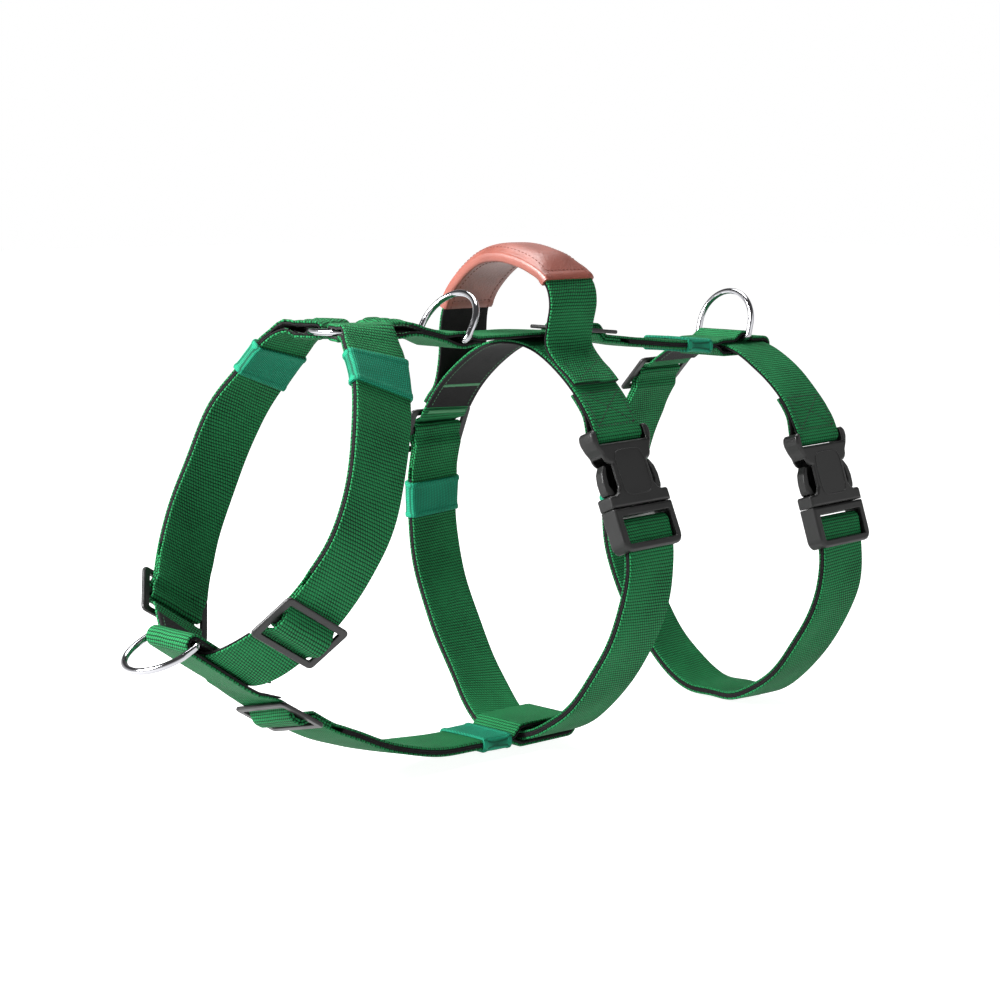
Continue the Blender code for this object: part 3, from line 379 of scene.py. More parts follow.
NECK_SIDE = (  # from the flat ring's centre: along x, out to the side, along z, and roll
    (0, 0, 0, 0), (-5, 12.5, 0, 0), (-9.4, 23.3, 0, 0), (-11.6, 28.8, -0.4, -1), (-15.5, 39.5, -9, -2),
    (-22, 53, -27, -4), (-33, 66, -51, -5), (-48, 74.5, -91, -2), (-62, 72, -119, 3),
    (-78, 60, -147, 13), (-92.5, 39, -169, 28), (-99.8, 20, -179, 33.5), (-101, 0, -180, 34),
)
BELLY_ROWS = (  # x, y, z and roll
    (-186, 3, -187.3, -4), (-172, 5, -196.5, -10), (-155.5, 2.5, -207.2, -10), (-139, 0, -217.9, -10),
    (-120, -1, -227, -10), (-89, -1, -238, -5), (-58, 0, -244, -2), (-27, 0, -246, 0), (8, 0, -246, 0),
    (30, 0, -246, 0), (50, 0, -246, 0),
)
BACK_ROWS = (  # x and z
    (-108, 9.5), (-94, 9.5), (-83, 9.5), (-77, 9.2), (-62, 6.0), (-46, 2.2), (-26, 0), (-13, 0),
    (13, 0), (26, 0), (46, -1), (71, -3), (99, -6), (136, -10), (170, -13), (192, -13.5), (214, -13.5),
    (236, -13.5),
)
HANDLE_ARCH = (  # y and z
    (-34.5, -4), (-35.5, 7), (-38, 20), (-36, 30), (-30, 37), (-19, 42.5), (-5, 46.5), (10, 48.3),
    (26, 46), (41.5, 37), (54.5, 24), (60.5, 12), (62.5, 0), (63, -14),
)
HANDLE_ENDS = (61.0, 42.0, 73.0, 88.0)


def neck_guide(side):
    rows = [(RING_CENTRE[0] + x, side * y, RING_CENTRE[2] + z, -side * roll) for x, y, z, roll in NECK_SIDE]
    x, y, z, roll = rows[-2]
    return Guide(rows + [(x, -y, z, roll)], (-side, 0, 0), quiet=(0.0, NECK_SLIDER_AT, 285.0))


def belly_guide():
    """Straight through the middle of the neck straps' lowest stretch, then back under the dog."""
    slope = math.radians(NECK_SLOPE)
    along, out = (math.cos(slope), -math.sin(slope)), (-math.sin(slope), -math.cos(slope))
    bottom = (RING_CENTRE[0] + NECK_SIDE[-1][0], RING_CENTRE[2] + NECK_SIDE[-1][2])
    rows = []
    for ahead in (-FRONT_BAR_AHEAD, -FRONT_BAR_AHEAD / 2, 0.0, 18.0):
        x = bottom[0] + ahead * along[0] + SINGLE_MIDDLE * out[0]
        rows.append((x, 0, bottom[1] + ahead * along[1] + SINGLE_MIDDLE * out[1], 0))
    return Guide(rows + list(BELLY_ROWS), (0, -1, 0), quiet=(0.0, 30.0, BELLY_SLIDER_AT, 287.0, 307.0))


def handle_guide(chest):
    level = STACK + GAP + LINING_THICK + GAP + WEB_THICK / 2
    near_end, leaves, returns, far_end = HANDLE_ENDS
    rows = [tuple(chest.place(s, level)) for s in (near_end, (near_end + leaves) / 2, leaves)]
    rows += [(CHEST_X, y, z) for y, z in HANDLE_ARCH]
    for s in (returns, (returns + far_end) / 2, far_end):
        rows.append(tuple(chest.place(chest.length - s, level)))
    return Guide(rows, (-1, 0, 0))


chest_rows = [(CHEST_X + x, y, z) for y, z, x in CHEST_OUTLINE]
rear_rows = [(REAR_X + x, y, z) for y, z, x in REAR_OUTLINE]
CHEST = Guide(chest_rows, (1, 0, 0), closed=True, quiet=(0.0, 130.0, -CHEST_SLIDER_AT, 339.0, 50.0, -60.0))
REAR = Guide(rear_rows, (1, 0, 0), closed=True, quiet=(0.0, 139.0, -REAR_SLIDER_AT))
under_back = PITCH - LINING_STEP - LINING_THICK / 2
BACK = Guide([(x, 0, z - under_back) for x, z in BACK_ROWS], (0, 1, 0), quiet=(20.0, 70.0, 143.0, 181.0, 322.0))
NECK = {"near": neck_guide(-1), "far": neck_guide(1)}
BELLY = belly_guide()
HANDLE = handle_guide(CHEST)
for name, guide in {"chest": CHEST, "rear": REAR, "back": BACK, "neck": NECK["near"], "belly": BELLY}.items():
    print(name, "guide:", round(guide.length, 1), "mm")

# %% [markdown]
# ## Surfaces
# `Shape` collects closed surfaces and threads into one mesh. `Band` is the middle surface of a strap: its side-view
# route, rounded, on a guide. From it come the webbing, the lining beside it and rows of stitches on either face.


# %% Surfaces
def smoothstep(t):
    t = np.clip(t, 0, 1)
    return t * t * (3 - 2 * t)


def rounded_bar(count=11, arc=4):
    """A flat bar's outline as (a, b, c): across = a * (half - r) + b * r and height = c * thick / 2."""
    flat = np.linspace(1, -1, count)
    turn = np.linspace(0, math.pi, arc + 2)[1:-1]
    a = np.r_[flat, -np.ones(arc), -flat, np.ones(arc)]
    b = np.r_[np.zeros(count), -np.sin(turn), np.zeros(count), np.sin(turn)]
    c = np.r_[np.ones(count), np.cos(turn), -np.ones(count), -np.cos(turn)]
    return a, b, c


def bead():
    """A small closed body: five rings of six points and a pole at each end, as (along, side, up)."""
    along = np.array([-0.85, -0.45, 0.0, 0.45, 0.85])
    radius = np.sqrt(1 - along**2)
    turn = np.arange(6) * math.tau / 6
    rings = [(x, r * math.cos(t), r * math.sin(t)) for x, r in zip(along, radius) for t in turn]
    points = np.array(rings + [(-1, 0, 0), (1, 0, 0)])
    faces = []
    for k in range(6):
        after = (k + 1) % 6
        faces += [(6 * j + k, 6 * j + after, 6 * j + 6 + after, 6 * j + 6 + k) for j in range(4)]
        faces += [(30, after, k), (31, 24 + k, 24 + after)]
    return points, faces


BEAD_POINTS, BEAD_FACES = bead()


class Shape:
    """Closed surfaces gathered into one mesh, with cloth coordinates in mm and a material for each."""

    def __init__(self):
        self.points, self.cloth, self.faces, self.kinds, self.count = [], [], [], [], 0

    def grid(self, points, cloth, kind=0, closed=False):
        """Rows of closed rings. A closed grid joins its last row to its first; an open one is capped."""
        rows, around = points.shape[:2]
        index = np.arange(rows * around).reshape(rows, around) + self.count
        after = np.roll(index, -1, axis=1)
        if closed:
            low, low_after = index, after
            high, high_after = np.roll(index, -1, axis=0), np.roll(after, -1, axis=0)
        else:
            low, low_after, high, high_after = index[:-1], after[:-1], index[1:], after[1:]
        quads = np.stack([low, low_after, high_after, high], axis=-1).reshape(-1, 4)
        self.faces += quads.tolist()
        self.kinds += [kind] * len(quads)
        if not closed:
            self.faces += [index[0][::-1].tolist(), index[-1].tolist()]
            self.kinds += [kind] * 2
        self.points.append(points.reshape(-1, 3))
        self.cloth.append(np.broadcast_to(cloth, points.shape).reshape(-1, 3))
        self.count += rows * around

    def hollow(self, outer, inner):
        """An outer and an inner skin, each (points, cloth), joined at both ends into one closed wall."""
        points, cloth = (np.concatenate([first, second[::-1]]) for first, second in zip(outer, inner))
        self.grid(points, cloth, closed=True)

    def wire(self, path, normal, radius, around):
        """A round wire along a closed path in a plane with this normal."""
        step = np.roll(path, -1, axis=0) - np.roll(path, 1, axis=0)
        side = np.cross(step / np.linalg.norm(step, axis=1, keepdims=True), normal)[:, None]
        turn = (np.arange(around) * math.tau / around)[None, :, None]
        rings = path[:, None] + radius * (np.cos(turn) * side + np.sin(turn) * np.asarray(normal))
        self.grid(rings, rings, closed=True)

    def beads(self, centre, along, side, up, kind=1):
        """One bead at each centre, with its three half-axes as vectors."""
        if not len(centre):
            return
        a, b, c = (BEAD_POINTS[:, k][None, :, None] for k in range(3))
        points = centre[:, None] + a * along[:, None] + b * side[:, None] + c * up[:, None]
        step = len(BEAD_POINTS)
        for k in range(len(centre)):
            start = self.count + k * step
            self.faces += [[start + i for i in face] for face in BEAD_FACES]
        self.kinds += [kind] * (len(BEAD_FACES) * len(centre))
        self.points.append(points.reshape(-1, 3))
        self.cloth.append(points.reshape(-1, 3))
        self.count += step * len(centre)

    def make(self, name, materials, sharp=40.0):
        points = np.vstack(self.points) * 0.001
        mesh = bpy.data.meshes.new(name)
        mesh.from_pydata(points.tolist(), [], self.faces)
        cloth = mesh.attributes.new("cloth", "FLOAT_VECTOR", "POINT")
        cloth.data.foreach_set("vector", np.vstack(self.cloth).astype(np.float32).ravel())
        for material in materials:
            mesh.materials.append(material)
        mesh.polygons.foreach_set("material_index", np.array(self.kinds, np.int32))
        mesh.shade_smooth()
        mesh.set_sharp_from_angle(angle=math.radians(sharp))
        made = bpy.data.objects.new(name, mesh)
        bpy.context.scene.collection.objects.link(made)
        turned_out(made)
        return made


def turned_out(obj):
    """Turns each closed surface's faces outwards."""
    bm = bmesh.new()
    bm.from_mesh(obj.data)
    bmesh.ops.recalc_face_normals(bm, faces=bm.faces)
    bm.to_mesh(obj.data)
    bm.free()


class Band:
    """The middle surface of a strap. points is its route in (s, n), rounded by a moving average."""

    def __init__(self, guide, points, width=None, ruffle=0.0):
        rounding, step = 0.8, 0.4
        raw = np.array(points, float)
        length = np.r_[0, np.cumsum(np.hypot(*np.diff(raw, axis=0).T))]
        fine = np.linspace(0, length[-1], int(length[-1] / step) + 1)
        route = np.stack([np.interp(fine, length, raw[:, k]) for k in (0, 1)], axis=1)
        reach = int(4 * rounding / step)
        weights = np.exp(-0.5 * (np.arange(-reach, reach + 1) * step / rounding) ** 2)
        weights /= weights.sum()
        before, after = 2 * route[0] - route[reach:0:-1], 2 * route[-1] - route[-2 : -reach - 2 : -1]
        padded = np.vstack([before, route, after])
        route = np.stack([np.convolve(padded[:, k], weights, "valid") for k in (0, 1)], axis=1)
        self.guide, self.route = guide, route
        self.u = np.r_[0, np.cumsum(np.hypot(*np.diff(route, axis=0).T))]
        along = np.gradient(route, self.u, axis=0)
        along /= np.linalg.norm(along, axis=1, keepdims=True)
        self.left = np.stack([-along[:, 1], along[:, 0]], axis=1)
        heading = np.unwrap(np.arctan2(along[:, 1], along[:, 0]))
        self.turning = np.abs(np.gradient(heading, self.u))
        self.vertex_u = np.interp(length, fine, self.u)
        self.half = width or (lambda s: np.full(np.shape(s), HALF_WEB))
        self.ruffle = ruffle

    def read(self, rows, u):
        return np.stack([np.interp(u, self.u, rows[:, k]) for k in (0, 1)], axis=-1)

    def crossing(self, s, which):
        """The distance along the strap where it passes s; which counts the passes, from the end if negative."""
        above = self.route[:, 0] > s
        at = np.flatnonzero(above[1:] != above[:-1])[which]
        return float(self.u[at])

    def at(self, u, w, lift=0.0):
        """Points at distance u along, w across and lift to the left of the route."""
        u, w, lift = np.broadcast_arrays(np.asarray(u, float), w, lift)
        spot = self.read(self.route, u) + lift[..., None] * self.read(self.left, u)
        s, n = spot[..., 0], spot[..., 1]
        n = n + self.guide.sway(s, w)
        if self.ruffle:
            narrow = 1 - self.half(s) / HALF_WEB
            n = n + self.ruffle * narrow * np.cos(w * math.tau / 8.5 + 0.6)
        return self.guide.place(s, n, w)

    def stations(self, start, end):
        """Distances along the strap, closer together where it turns."""
        keep = (self.u >= start) & (self.u <= end)
        u = np.r_[start, self.u[keep], end]
        dense = 1 / 3.2 + np.interp(u, self.u, self.turning) / 0.15
        total = np.r_[0, np.cumsum(np.diff(u) * (dense[1:] + dense[:-1]) / 2)]
        return np.interp(np.linspace(0, total[-1], max(4, int(total[-1]) + 2)), total, u)

    def body(self, shape, start, end, thick, offset=0.0, inset=0.0, bulge=0.0, kind=0):
        """Adds a flat body of this thickness between two distances, offset to the left of the route."""
        u = self.stations(start, end)[:, None]
        a, b, c = rounded_bar()
        radius = thick / 2
        half = self.half(self.read(self.route, u[:, 0])[..., 0])[:, None] - inset
        w = a[None] * (half - radius) + b[None] * radius
        edge = smoothstep((np.abs(w) - half + 2.6) / 1.6)
        lift = offset + c[None] * (thick / 2 + bulge * edge)
        points = self.at(np.broadcast_to(u, w.shape), w, lift)
        cloth = np.stack([np.broadcast_to(u, w.shape), w * HALF_WEB / half, lift], axis=-1)
        shape.grid(points, cloth, kind)

    def thread(self, shape, path, lift, pitch=2.7, share=0.36, wide=0.3, tall=0.24, kind=1):
        """Adds stitches along a line of (distance, across) points on the face at this lift."""
        path = np.array(path, float)
        length = np.r_[0, np.cumsum(np.hypot(*np.diff(path, axis=0).T))]
        middles = np.arange(pitch / 2, length[-1], pitch)
        if not len(middles):
            return
        ends = []
        for reach in (-share * pitch, share * pitch):
            ends.append(np.stack([np.interp(middles + reach, length, path[:, k]) for k in (0, 1)]))
        first, last = (self.at(u, w, lift) for u, w in ends)
        u, w = (ends[0] + ends[1]) / 2
        centre = self.at(u, w, lift)
        up = self.at(u, w, lift + math.copysign(1.0, lift)) - centre
        up /= np.linalg.norm(up, axis=1, keepdims=True)
        along = (last - first) / 2
        side = np.cross(up, along)
        side /= np.linalg.norm(side, axis=1, keepdims=True)
        shape.beads(centre, along, side * wide, up * tall, kind)


print("bead for a stitch:", len(BEAD_POINTS), "points,", len(BEAD_FACES), "faces")

# %% [markdown]
# ## Routes
# The turns every strap is made of: round a bar, through a slider, and the return layer that wraps the slider's
# middle bar and lies back between the layers.


# %% Routes
TAIL_LENGTH, TAPER = 30.0, 16.0  # webbing sewn back past a bar, and where its layers come together


def arc(centre, radius, start, end):
    angles = np.radians(np.linspace(start, end, 13))
    return [(centre[0] + radius * math.cos(t), centre[1] + radius * math.sin(t)) for t in angles]


def along_run(start, sign, points):
    """Turns (distance from the strap's start, n) into (guide length, n)."""
    return [(start + sign * u, n) for u, n in points]


def fold(u, toward, level=FOLD, lift=0.0):
    return [(u + toward * s, n) for s, n in arc((0, lift), level, 90, -90)]


def slider_pass(u):
    """The main layer under a slider's first bar and up to its crest, and the same down again."""
    crest = SLIDER_LEVEL + SLIDER_THICK / 2 + 2 * GAP + 1.5 * WEB_THICK
    reach = SLIDER_LENGTH / 2
    rise = [(-LINING_STOP, PITCH), (-reach + SLIDER_BAR + 1.4, PITCH + 0.1), (-4.4, crest - 0.8), (-2.6, crest)]
    return [(u + ds, n) for ds, n in rise + [(0.0, crest)]], [(u - ds, n) for ds, n in rise[::-1]]


def slider_anchor(u):
    """From the doubled side, under and round the slider's middle bar and back between the layers."""
    wrap = SLIDER_THICK / 2 + GAP + WEB_THICK / 2
    step = WEB_THICK + GAP
    under, last_bar, half_bar = PITCH - 2 * step, SLIDER_LENGTH / 2 - SLIDER_BAR / 2, SLIDER_BAR / 2 - 0.5
    come_in = [(LINING_START, -PITCH), (ANCHOR_TAIL, under), (last_bar - 5.2, under)]
    come_in += [(half_bar + 1.8, SLIDER_LEVEL - wrap - 0.2)]
    go_out = [(half_bar + 1.4, SLIDER_LEVEL + wrap), (half_bar + 2.6, SLIDER_LEVEL + wrap - 1.2)]
    go_out += [(last_bar - 4.2, PITCH - step + 0.1), (ANCHOR_TAIL - 2, PITCH - step)]
    turn = arc((-half_bar, SLIDER_LEVEL), wrap, -90, -270)
    return [(u + ds, n) for ds, n in come_in + turn + go_out]


def bar_turn(bar_u):
    return [(bar_u - TAPER, PITCH)] + fold(bar_u, 1) + [(bar_u - TAPER, -PITCH)]


def strap_turn(middle_u, outer, inner):
    """Round the whole width of a strap that crosses between the layers."""
    reach = HALF_WEB + EDGE_ROOM
    edge = middle_u - reach
    before, after = [(edge - 6.0, PITCH), (edge, outer)], [(edge, -inner), (edge - 6.0, -PITCH)]
    return before, fold(middle_u + reach, 1, (outer + inner) / 2, (outer - inner) / 2), after


def sewn_end():
    return [(TAIL_LENGTH, -PITCH), (TAPER, -PITCH)] + fold(0, -1)[::-1] + [(TAPER, PITCH)]


def gathered(full_at, narrow):
    """Half the strap's width, narrowing towards the flat ring over 20 mm."""

    def half(s):
        return (narrow + (WEB_WIDTH - narrow) * smoothstep((np.asarray(s) - full_at) / 20.0 + 1.0)) / 2

    return half


print("route through a slider:", len(slider_pass(0)[0]) * 2 + len(slider_anchor(0)), "points")

# %% [markdown]
# ## Straps, linings and stitching
# Each strap is cut into pieces where it is hidden or still.


# %% Straps, linings and stitching
ROW = HALF_WEB - 3.4  # stitch rows, from the middle of the strap
FACE = WEB_THICK / 2 - 0.06  # stitches sit just in the cloth
UNDER_FACE = LINING_STEP + LINING_THICK / 2 - 0.04


def webbing(name, node, band, spans):
    """A piece of webbing made of the given spans of its band."""
    shape = Shape()
    for start, end in spans:
        band.body(shape, start, end, WEB_THICK)
    made = shape.make(name, [WEBBING])
    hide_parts(node)
    return made


def crossed_box(start, end):
    """The stitched lines of a rectangle with a cross, as (distance, across) points."""
    outline = [(start, -ROW), (end, -ROW), (end, ROW), (start, ROW), (start, -ROW)]
    return outline, [(start, -ROW), (end, ROW)], [(start, ROW), (end, -ROW)]


def lined(name, node, band, spans, side, boxes=(), bars=()):
    """Lining beside the spans with its two stitch rows. side is 1 for the route's left.

    boxes are stitched rectangles with a cross, as (start, end) distances; bars are wide satin bands at a distance.
    """
    shape = Shape()
    for start, end in spans:
        band.body(shape, start, end, LINING_THICK, side * LINING_STEP, inset=-0.15, bulge=0.1)
        for w in (-ROW, ROW):
            band.thread(shape, [(start + 1.0, w), (end - 1.0, w)], side * UNDER_FACE)
    for start, end in boxes:
        for path in crossed_box(start, end):
            band.thread(shape, path, side * UNDER_FACE, pitch=2.3, wide=0.22)
            # the stitches on the webbing's face use the thread painted in groove shade
            band.thread(shape, path, -side * FACE, pitch=2.6, wide=0.42, tall=0.3, kind=2)
    for at in bars:
        for w in np.arange(-ROW, ROW, 1.0):
            across = [(at - 1.5, w), (at + 1.5, w)]
            band.thread(shape, across, side * UNDER_FACE, pitch=3.0, share=0.5, wide=0.5)
    made = shape.make(name, [LINING, THREAD, GROOVE_SHADE_THREAD])
    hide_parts(node)
    return made


def follow_slider(objects, guide, slider_s, away):
    """Bakes each piece's placement into its mesh; away is the side of the slider they lie on, along the guide."""
    start = guide.place(slider_s + away * (SLIDER_LENGTH / 2 + 20.0), PITCH) * 0.001
    end = guide.place(slider_s + away * (SLIDER_LENGTH / 2 + 4.0), PITCH) * 0.001
    for obj in objects:
        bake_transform(obj)


def through_slider(name, rest_name, band, crest, slider_s, away):
    """The strap's front part and the rest of it, each with its lining, as four pieces.

    crest is the distance at which the front part ends. away is the side of the slider that it lies on.
    """
    front = webbing(f"{name}_front_webbing", f"{name}_strap", band, [(0, crest)])
    rest = webbing(f"{rest_name}_webbing", f"{name}_strap", band, [(crest, band.u[-1])])
    stop = band.crossing(slider_s + away * LINING_STOP, 0)
    under = lined(f"{name}_front_backing", f"{name}_front_lining", band, [(0.5, stop)], away)
    start, finish = (band.crossing(slider_s - away * LINING_START, which) for which in (0, -1))
    doubled = lined(f"{rest_name}_backing", f"{rest_name}_lining", band, [(start, finish)], away)
    follow_slider([front, under], band.guide, slider_s, away)
    follow_slider([rest, doubled], band.guide, slider_s, -away)


def neck_loop(side):
    guide, name = NECK[side], f"neck_{side}"
    end = guide.lengths[int(np.argmin(np.abs(guide.points[40:, 1]))) + 40] - GAP
    slider_u = end - NECK_SLIDER_AT
    turn = [(end - RING_CLOSE, PITCH), (end - RING_EDGE, FOLD)] + fold(end - 8.0 - FOLD - WEB_THICK / 2, 1)
    turn += [(end - RING_EDGE, -FOLD), (end - RING_CLOSE, -PITCH)]
    rise, fall = slider_pass(slider_u)
    points = [(0, PITCH)] + rise + fall + turn + slider_anchor(slider_u)
    ruffle = 0.0 if side == "near" else 5.0
    band = Band(guide, along_run(end, -1, points), gathered(48.0, 33.0), ruffle)
    through_slider(name, name, band, band.vertex_u[len(rise)], end - slider_u, 1)


def girth_loop(name, guide, bar_at, slider_at, boxes, bars):
    """One loop: sewn to the socket, over the top, through the slider, round the lower half's bar and back."""
    slider_u, adjuster = bar_at + slider_at, f"{name}_adjuster"
    rise, fall = slider_pass(slider_u)
    upper, lower = sewn_end(), bar_turn(guide.length - LOWER_BAR)
    points = upper + rise + fall + lower + slider_anchor(slider_u)
    band = Band(guide, along_run(bar_at, -1, points))
    crest, last = band.vertex_u[len(upper) + len(rise) - 1], band.u[-1]
    slider_s, bottom_s = bar_at - slider_u, guide.length / 2 - guide.length
    down, back = band.crossing(bottom_s, 0), band.crossing(bottom_s, -1)
    over = webbing(f"{name}_upper_webbing", f"{name}_strap", band, [(0, crest)])
    far = webbing(f"{name}_far_webbing", f"{name}_strap", band, [(crest, down), (back, last)])
    near = webbing(f"{name}_near_webbing", f"{name}_strap", band, [(down, back)])
    stop = band.crossing(slider_s + LINING_STOP, 0)
    bar_u = band.vertex_u[len(sewn_end()) // 2]
    boxes_u = [(bar_u + 9.0 + a, bar_u + 9.0 + b) for a, b in boxes]
    bars_u = [band.crossing(-at, 0) for at in bars]
    upper_lining, lower_lining = f"{name}_upper_lining", f"{name}_lower_lining"
    over_back = lined(f"{name}_upper_backing", upper_lining, band, [(0.5, stop)], 1, boxes_u, bars_u)
    start, finish = (band.crossing(slider_s - LINING_START, which) for which in (0, -1))
    far_back = lined(f"{name}_far_backing", lower_lining, band, [(start, down), (back, finish)], 1)
    near_back = lined(f"{name}_near_backing", lower_lining, band, [(down, back)], 1)
    follow_slider([over, over_back], guide, slider_s, 1)
    follow_slider([far, far_back], guide, slider_s, -1)
    bar_s = bar_at + LOWER_BAR
    for obj in (near, near_back):
        low, high = guide.place(bar_s + 105.0) * 0.001, guide.place(bar_s + 12.0) * 0.001
        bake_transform(obj)


def x_to_length(guide, x):
    return float(np.interp(x, guide.points[:, 0], guide.lengths))


def belly():
    guide = BELLY
    outer, inner = OVER_SINGLE + GAP, OVER_SINGLE + CURVE_ROOM
    past_neck = FRONT_BAR_AHEAD + HALF_WEB + 4.0
    front = [(past_neck + 6.0, -inner)] + fold(0, -1, (outer + inner) / 2, (outer - inner) / 2)[::-1]
    front += [(past_neck, outer)]
    middle = x_to_length(guide, CHEST_BOTTOM_X)
    before, turn, after = strap_turn(middle, OVER_DOUBLE, OVER_DOUBLE + CURVE_ROOM)
    rise, fall = slider_pass(BELLY_SLIDER_AT)
    points = front + rise + fall + before + turn + after + slider_anchor(BELLY_SLIDER_AT)
    band = Band(guide, points)
    crest = band.vertex_u[len(front) + len(rise) - 1]
    through_slider("belly", "belly_rear", band, crest, BELLY_SLIDER_AT, -1)


def back():
    guide = BACK
    ring_u, rear_u = x_to_length(guide, WITHERS_RING_X), x_to_length(guide, REAR_TOP_X)
    under = [(12.0, -PITCH), (2.5, -FOLD), (-2.5, -FOLD), (-12.0, -PITCH)]
    over = [(-12.0, PITCH), (-2.5, FOLD), (2.5, FOLD), (12.0, PITCH)]
    turn = [(RING_CLOSE, -PITCH), (RING_EDGE, -FOLD)] + fold(14.0 + FOLD + WEB_THICK / 2, -1)[::-1]
    turn += [(RING_EDGE, FOLD), (RING_CLOSE, PITCH)]
    front = [(ring_u + 15.0, -PITCH)] + [(ring_u + u, n) for u, n in under] + turn
    front += [(ring_u + u, n) for u, n in over]
    hump = OVER_SINGLE + 2 * BAR_RADIUS + GAP
    before, end, after = strap_turn(rear_u, OVER_SINGLE, OVER_SINGLE + CURVE_ROOM)
    over_ring = [(-9.0, OVER_SINGLE), (-2.5, hump), (2.5, hump), (9.0, OVER_SINGLE)]
    rise, fall = slider_pass(BACK_SLIDER_AT)
    points = front + rise + fall + before + [(rear_u + u, n) for u, n in over_ring] + end + after
    points += slider_anchor(BACK_SLIDER_AT)
    band = Band(guide, points, gathered(14.0 + FOLD + WEB_THICK / 2 + 24.0, 27.0), ruffle=3.5)
    crest = band.vertex_u[len(front) + len(rise) - 1]
    through_slider("back", "back_rear", band, crest, BACK_SLIDER_AT, -1)


for side in ("near", "far"):
    neck_loop(side)
girth_loop("chest", CHEST, CHEST_BUCKLE_AT, CHEST_SLIDER_AT, [(3.0, 25.0)], [70.0, 92.0])
girth_loop("rear", REAR, REAR_BUCKLE_AT, REAR_SLIDER_AT, [(3.0, 25.0)], [])
belly()
back()

# %% [markdown]
# ## Keepers
# Each keeper is a short elastic tube round a strap, its two ends turned into thicker corded hems.


# %% Keepers
def keeper(name, guide, at):
    """A tube round the strap: its wall is 1.2 mm, and 1.5 mm at the hems, which bulge outwards."""
    level, side, hem_end = STACK + 0.35, HALF_WEB + 0.45, 3.2
    hem_rows, middle_rows = np.linspace(0, hem_end, 9), np.linspace(4.2, KEEPER_LENGTH - 4.2, 9)
    along = np.r_[hem_rows, middle_rows, np.linspace(KEEPER_LENGTH - hem_end, KEEPER_LENGTH, 9)]
    from_end = np.minimum(along, KEEPER_LENGTH - along)
    hem = 0.42 * np.sqrt(np.clip(1 - ((from_end - 1.6) / 1.6) ** 2, 0, 1))
    waist = -0.15 * smoothstep((from_end - 3.0) / 3.0)
    a, b, c = rounded_bar(15, 6)
    skins = []
    for grow in (KEEPER_WALL + hem + waist, 0.0 * hem):
        n = c[None] * (level + grow[:, None])
        w = -a[None] * (side - 1.2) - b[None] * (1.2 + grow[:, None])
        s = at + along[:, None] - KEEPER_LENGTH / 2
        s, n, w = np.broadcast_arrays(s, n, w)
        skins.append((guide.place(s, n + guide.sway(s, w), w), np.stack([w, s, n], axis=-1)))
    shape = Shape()
    shape.hollow(*skins)
    made = shape.make(name + "_elastic", [ELASTIC], sharp=75.0)
    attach(made, "harness")
    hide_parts(name)


for side in ("near", "far"):
    keeper(f"neck_{side}_keeper", NECK[side], NECK_KEEPER_AT)
keeper("chest_keeper", CHEST, -CHEST_KEEPER_AT)
keeper("rear_keeper", REAR, -REAR_KEEPER_AT)
keeper("belly_keeper", BELLY, x_to_length(BELLY, CHEST_BOTTOM_X) - HALF_WEB - 22.0)
keeper("back_keeper", BACK, x_to_length(BACK, REAR_TOP_X) - HALF_WEB - 25.0)
print("keepers: 6")

# %% [markdown]
# ## Rings
# The flat ring is a torus. A D-ring is one wire: a straight bar, two corners, two legs and a half circle.


# %% Rings
def ring(name, path, normal, node, body):
    shape = Shape()
    shape.wire(path, normal, BAR_RADIUS, 20)
    made = shape.make(name, [CHROME])
    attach(made, body)
    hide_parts(node)


def d_path():
    """In (y, z): the bar through the origin, quarter-circle corners, legs and a half circle, every 1.2 mm."""
    half, corner = D_RING_HALF, 3.0
    leg = D_RING_HEIGHT - BAR_RADIUS - half
    quarter = np.linspace(0, math.pi / 2, 8)
    right = np.stack([half - corner + corner * np.sin(quarter), corner - corner * np.cos(quarter)], axis=1)
    top = np.linspace(0, math.pi, 60)
    arch = np.stack([half * np.cos(top), leg + half * np.sin(top)], axis=1)
    left = right[::-1] * (-1, 1)
    corners = np.vstack([right, arch, left, right[:1]])
    length = np.r_[0, np.cumsum(np.linalg.norm(np.diff(corners, axis=0), axis=1))]
    at = np.linspace(0, length[-1], 140)[:-1]
    return np.stack([np.interp(at, length, corners[:, k]) for k in (0, 1)], axis=1)


turn = np.arange(120) * math.tau / 120
circle = np.stack([np.cos(turn), np.sin(turn), 0 * turn], axis=1) * RING_RADIUS + RING_CENTRE
ring("flat_ring_wire", circle, (0, 0, 1), "top_o_ring", "top_ring")
for name, guide, s, n, lean in (
    ("withers", BACK, x_to_length(BACK, WITHERS_RING_X), 0.0, 25.0),
    ("rear", BACK, x_to_length(BACK, REAR_TOP_X), SINGLE_HALF + GAP + BAR_RADIUS, 15.0),
    ("front", BELLY, 0.0, -CURVE_ROOM / 2, -31.0),
):
    point, tangent, width, out = guide.frames(s)
    point, lean = point + n * out, math.radians(lean)
    up = out * math.cos(lean) + tangent * math.sin(lean)
    ahead = tangent * math.cos(lean) - out * math.sin(lean)
    path = d_path()
    path = point + path[:, :1] * width + path[:, 1:] * up
    ring(f"{name}_ring_wire", path, ahead, f"{name}_d_ring", f"{name}_ring")
print("rings: 4")

# %% [markdown]
# ## Handle
# A lined strap on the chest loop carries a leather sleeve: a padded dome on top of a flat base, open and pinched at
# both ends, hemmed and stitched near its edges.


# %% Handle
HANDLE_Z = HANDLE.points[:, 2]
HANDLE_TOP = int(np.argmax(HANDLE_Z))
SLEEVE_START = float(np.interp(SLEEVE_NEAR_Z, HANDLE_Z[:HANDLE_TOP], HANDLE.lengths[:HANDLE_TOP]))
SLEEVE_END = float(np.interp(-SLEEVE_FAR_Z, -HANDLE_Z[HANDLE_TOP:], HANDLE.lengths[HANDLE_TOP:]))


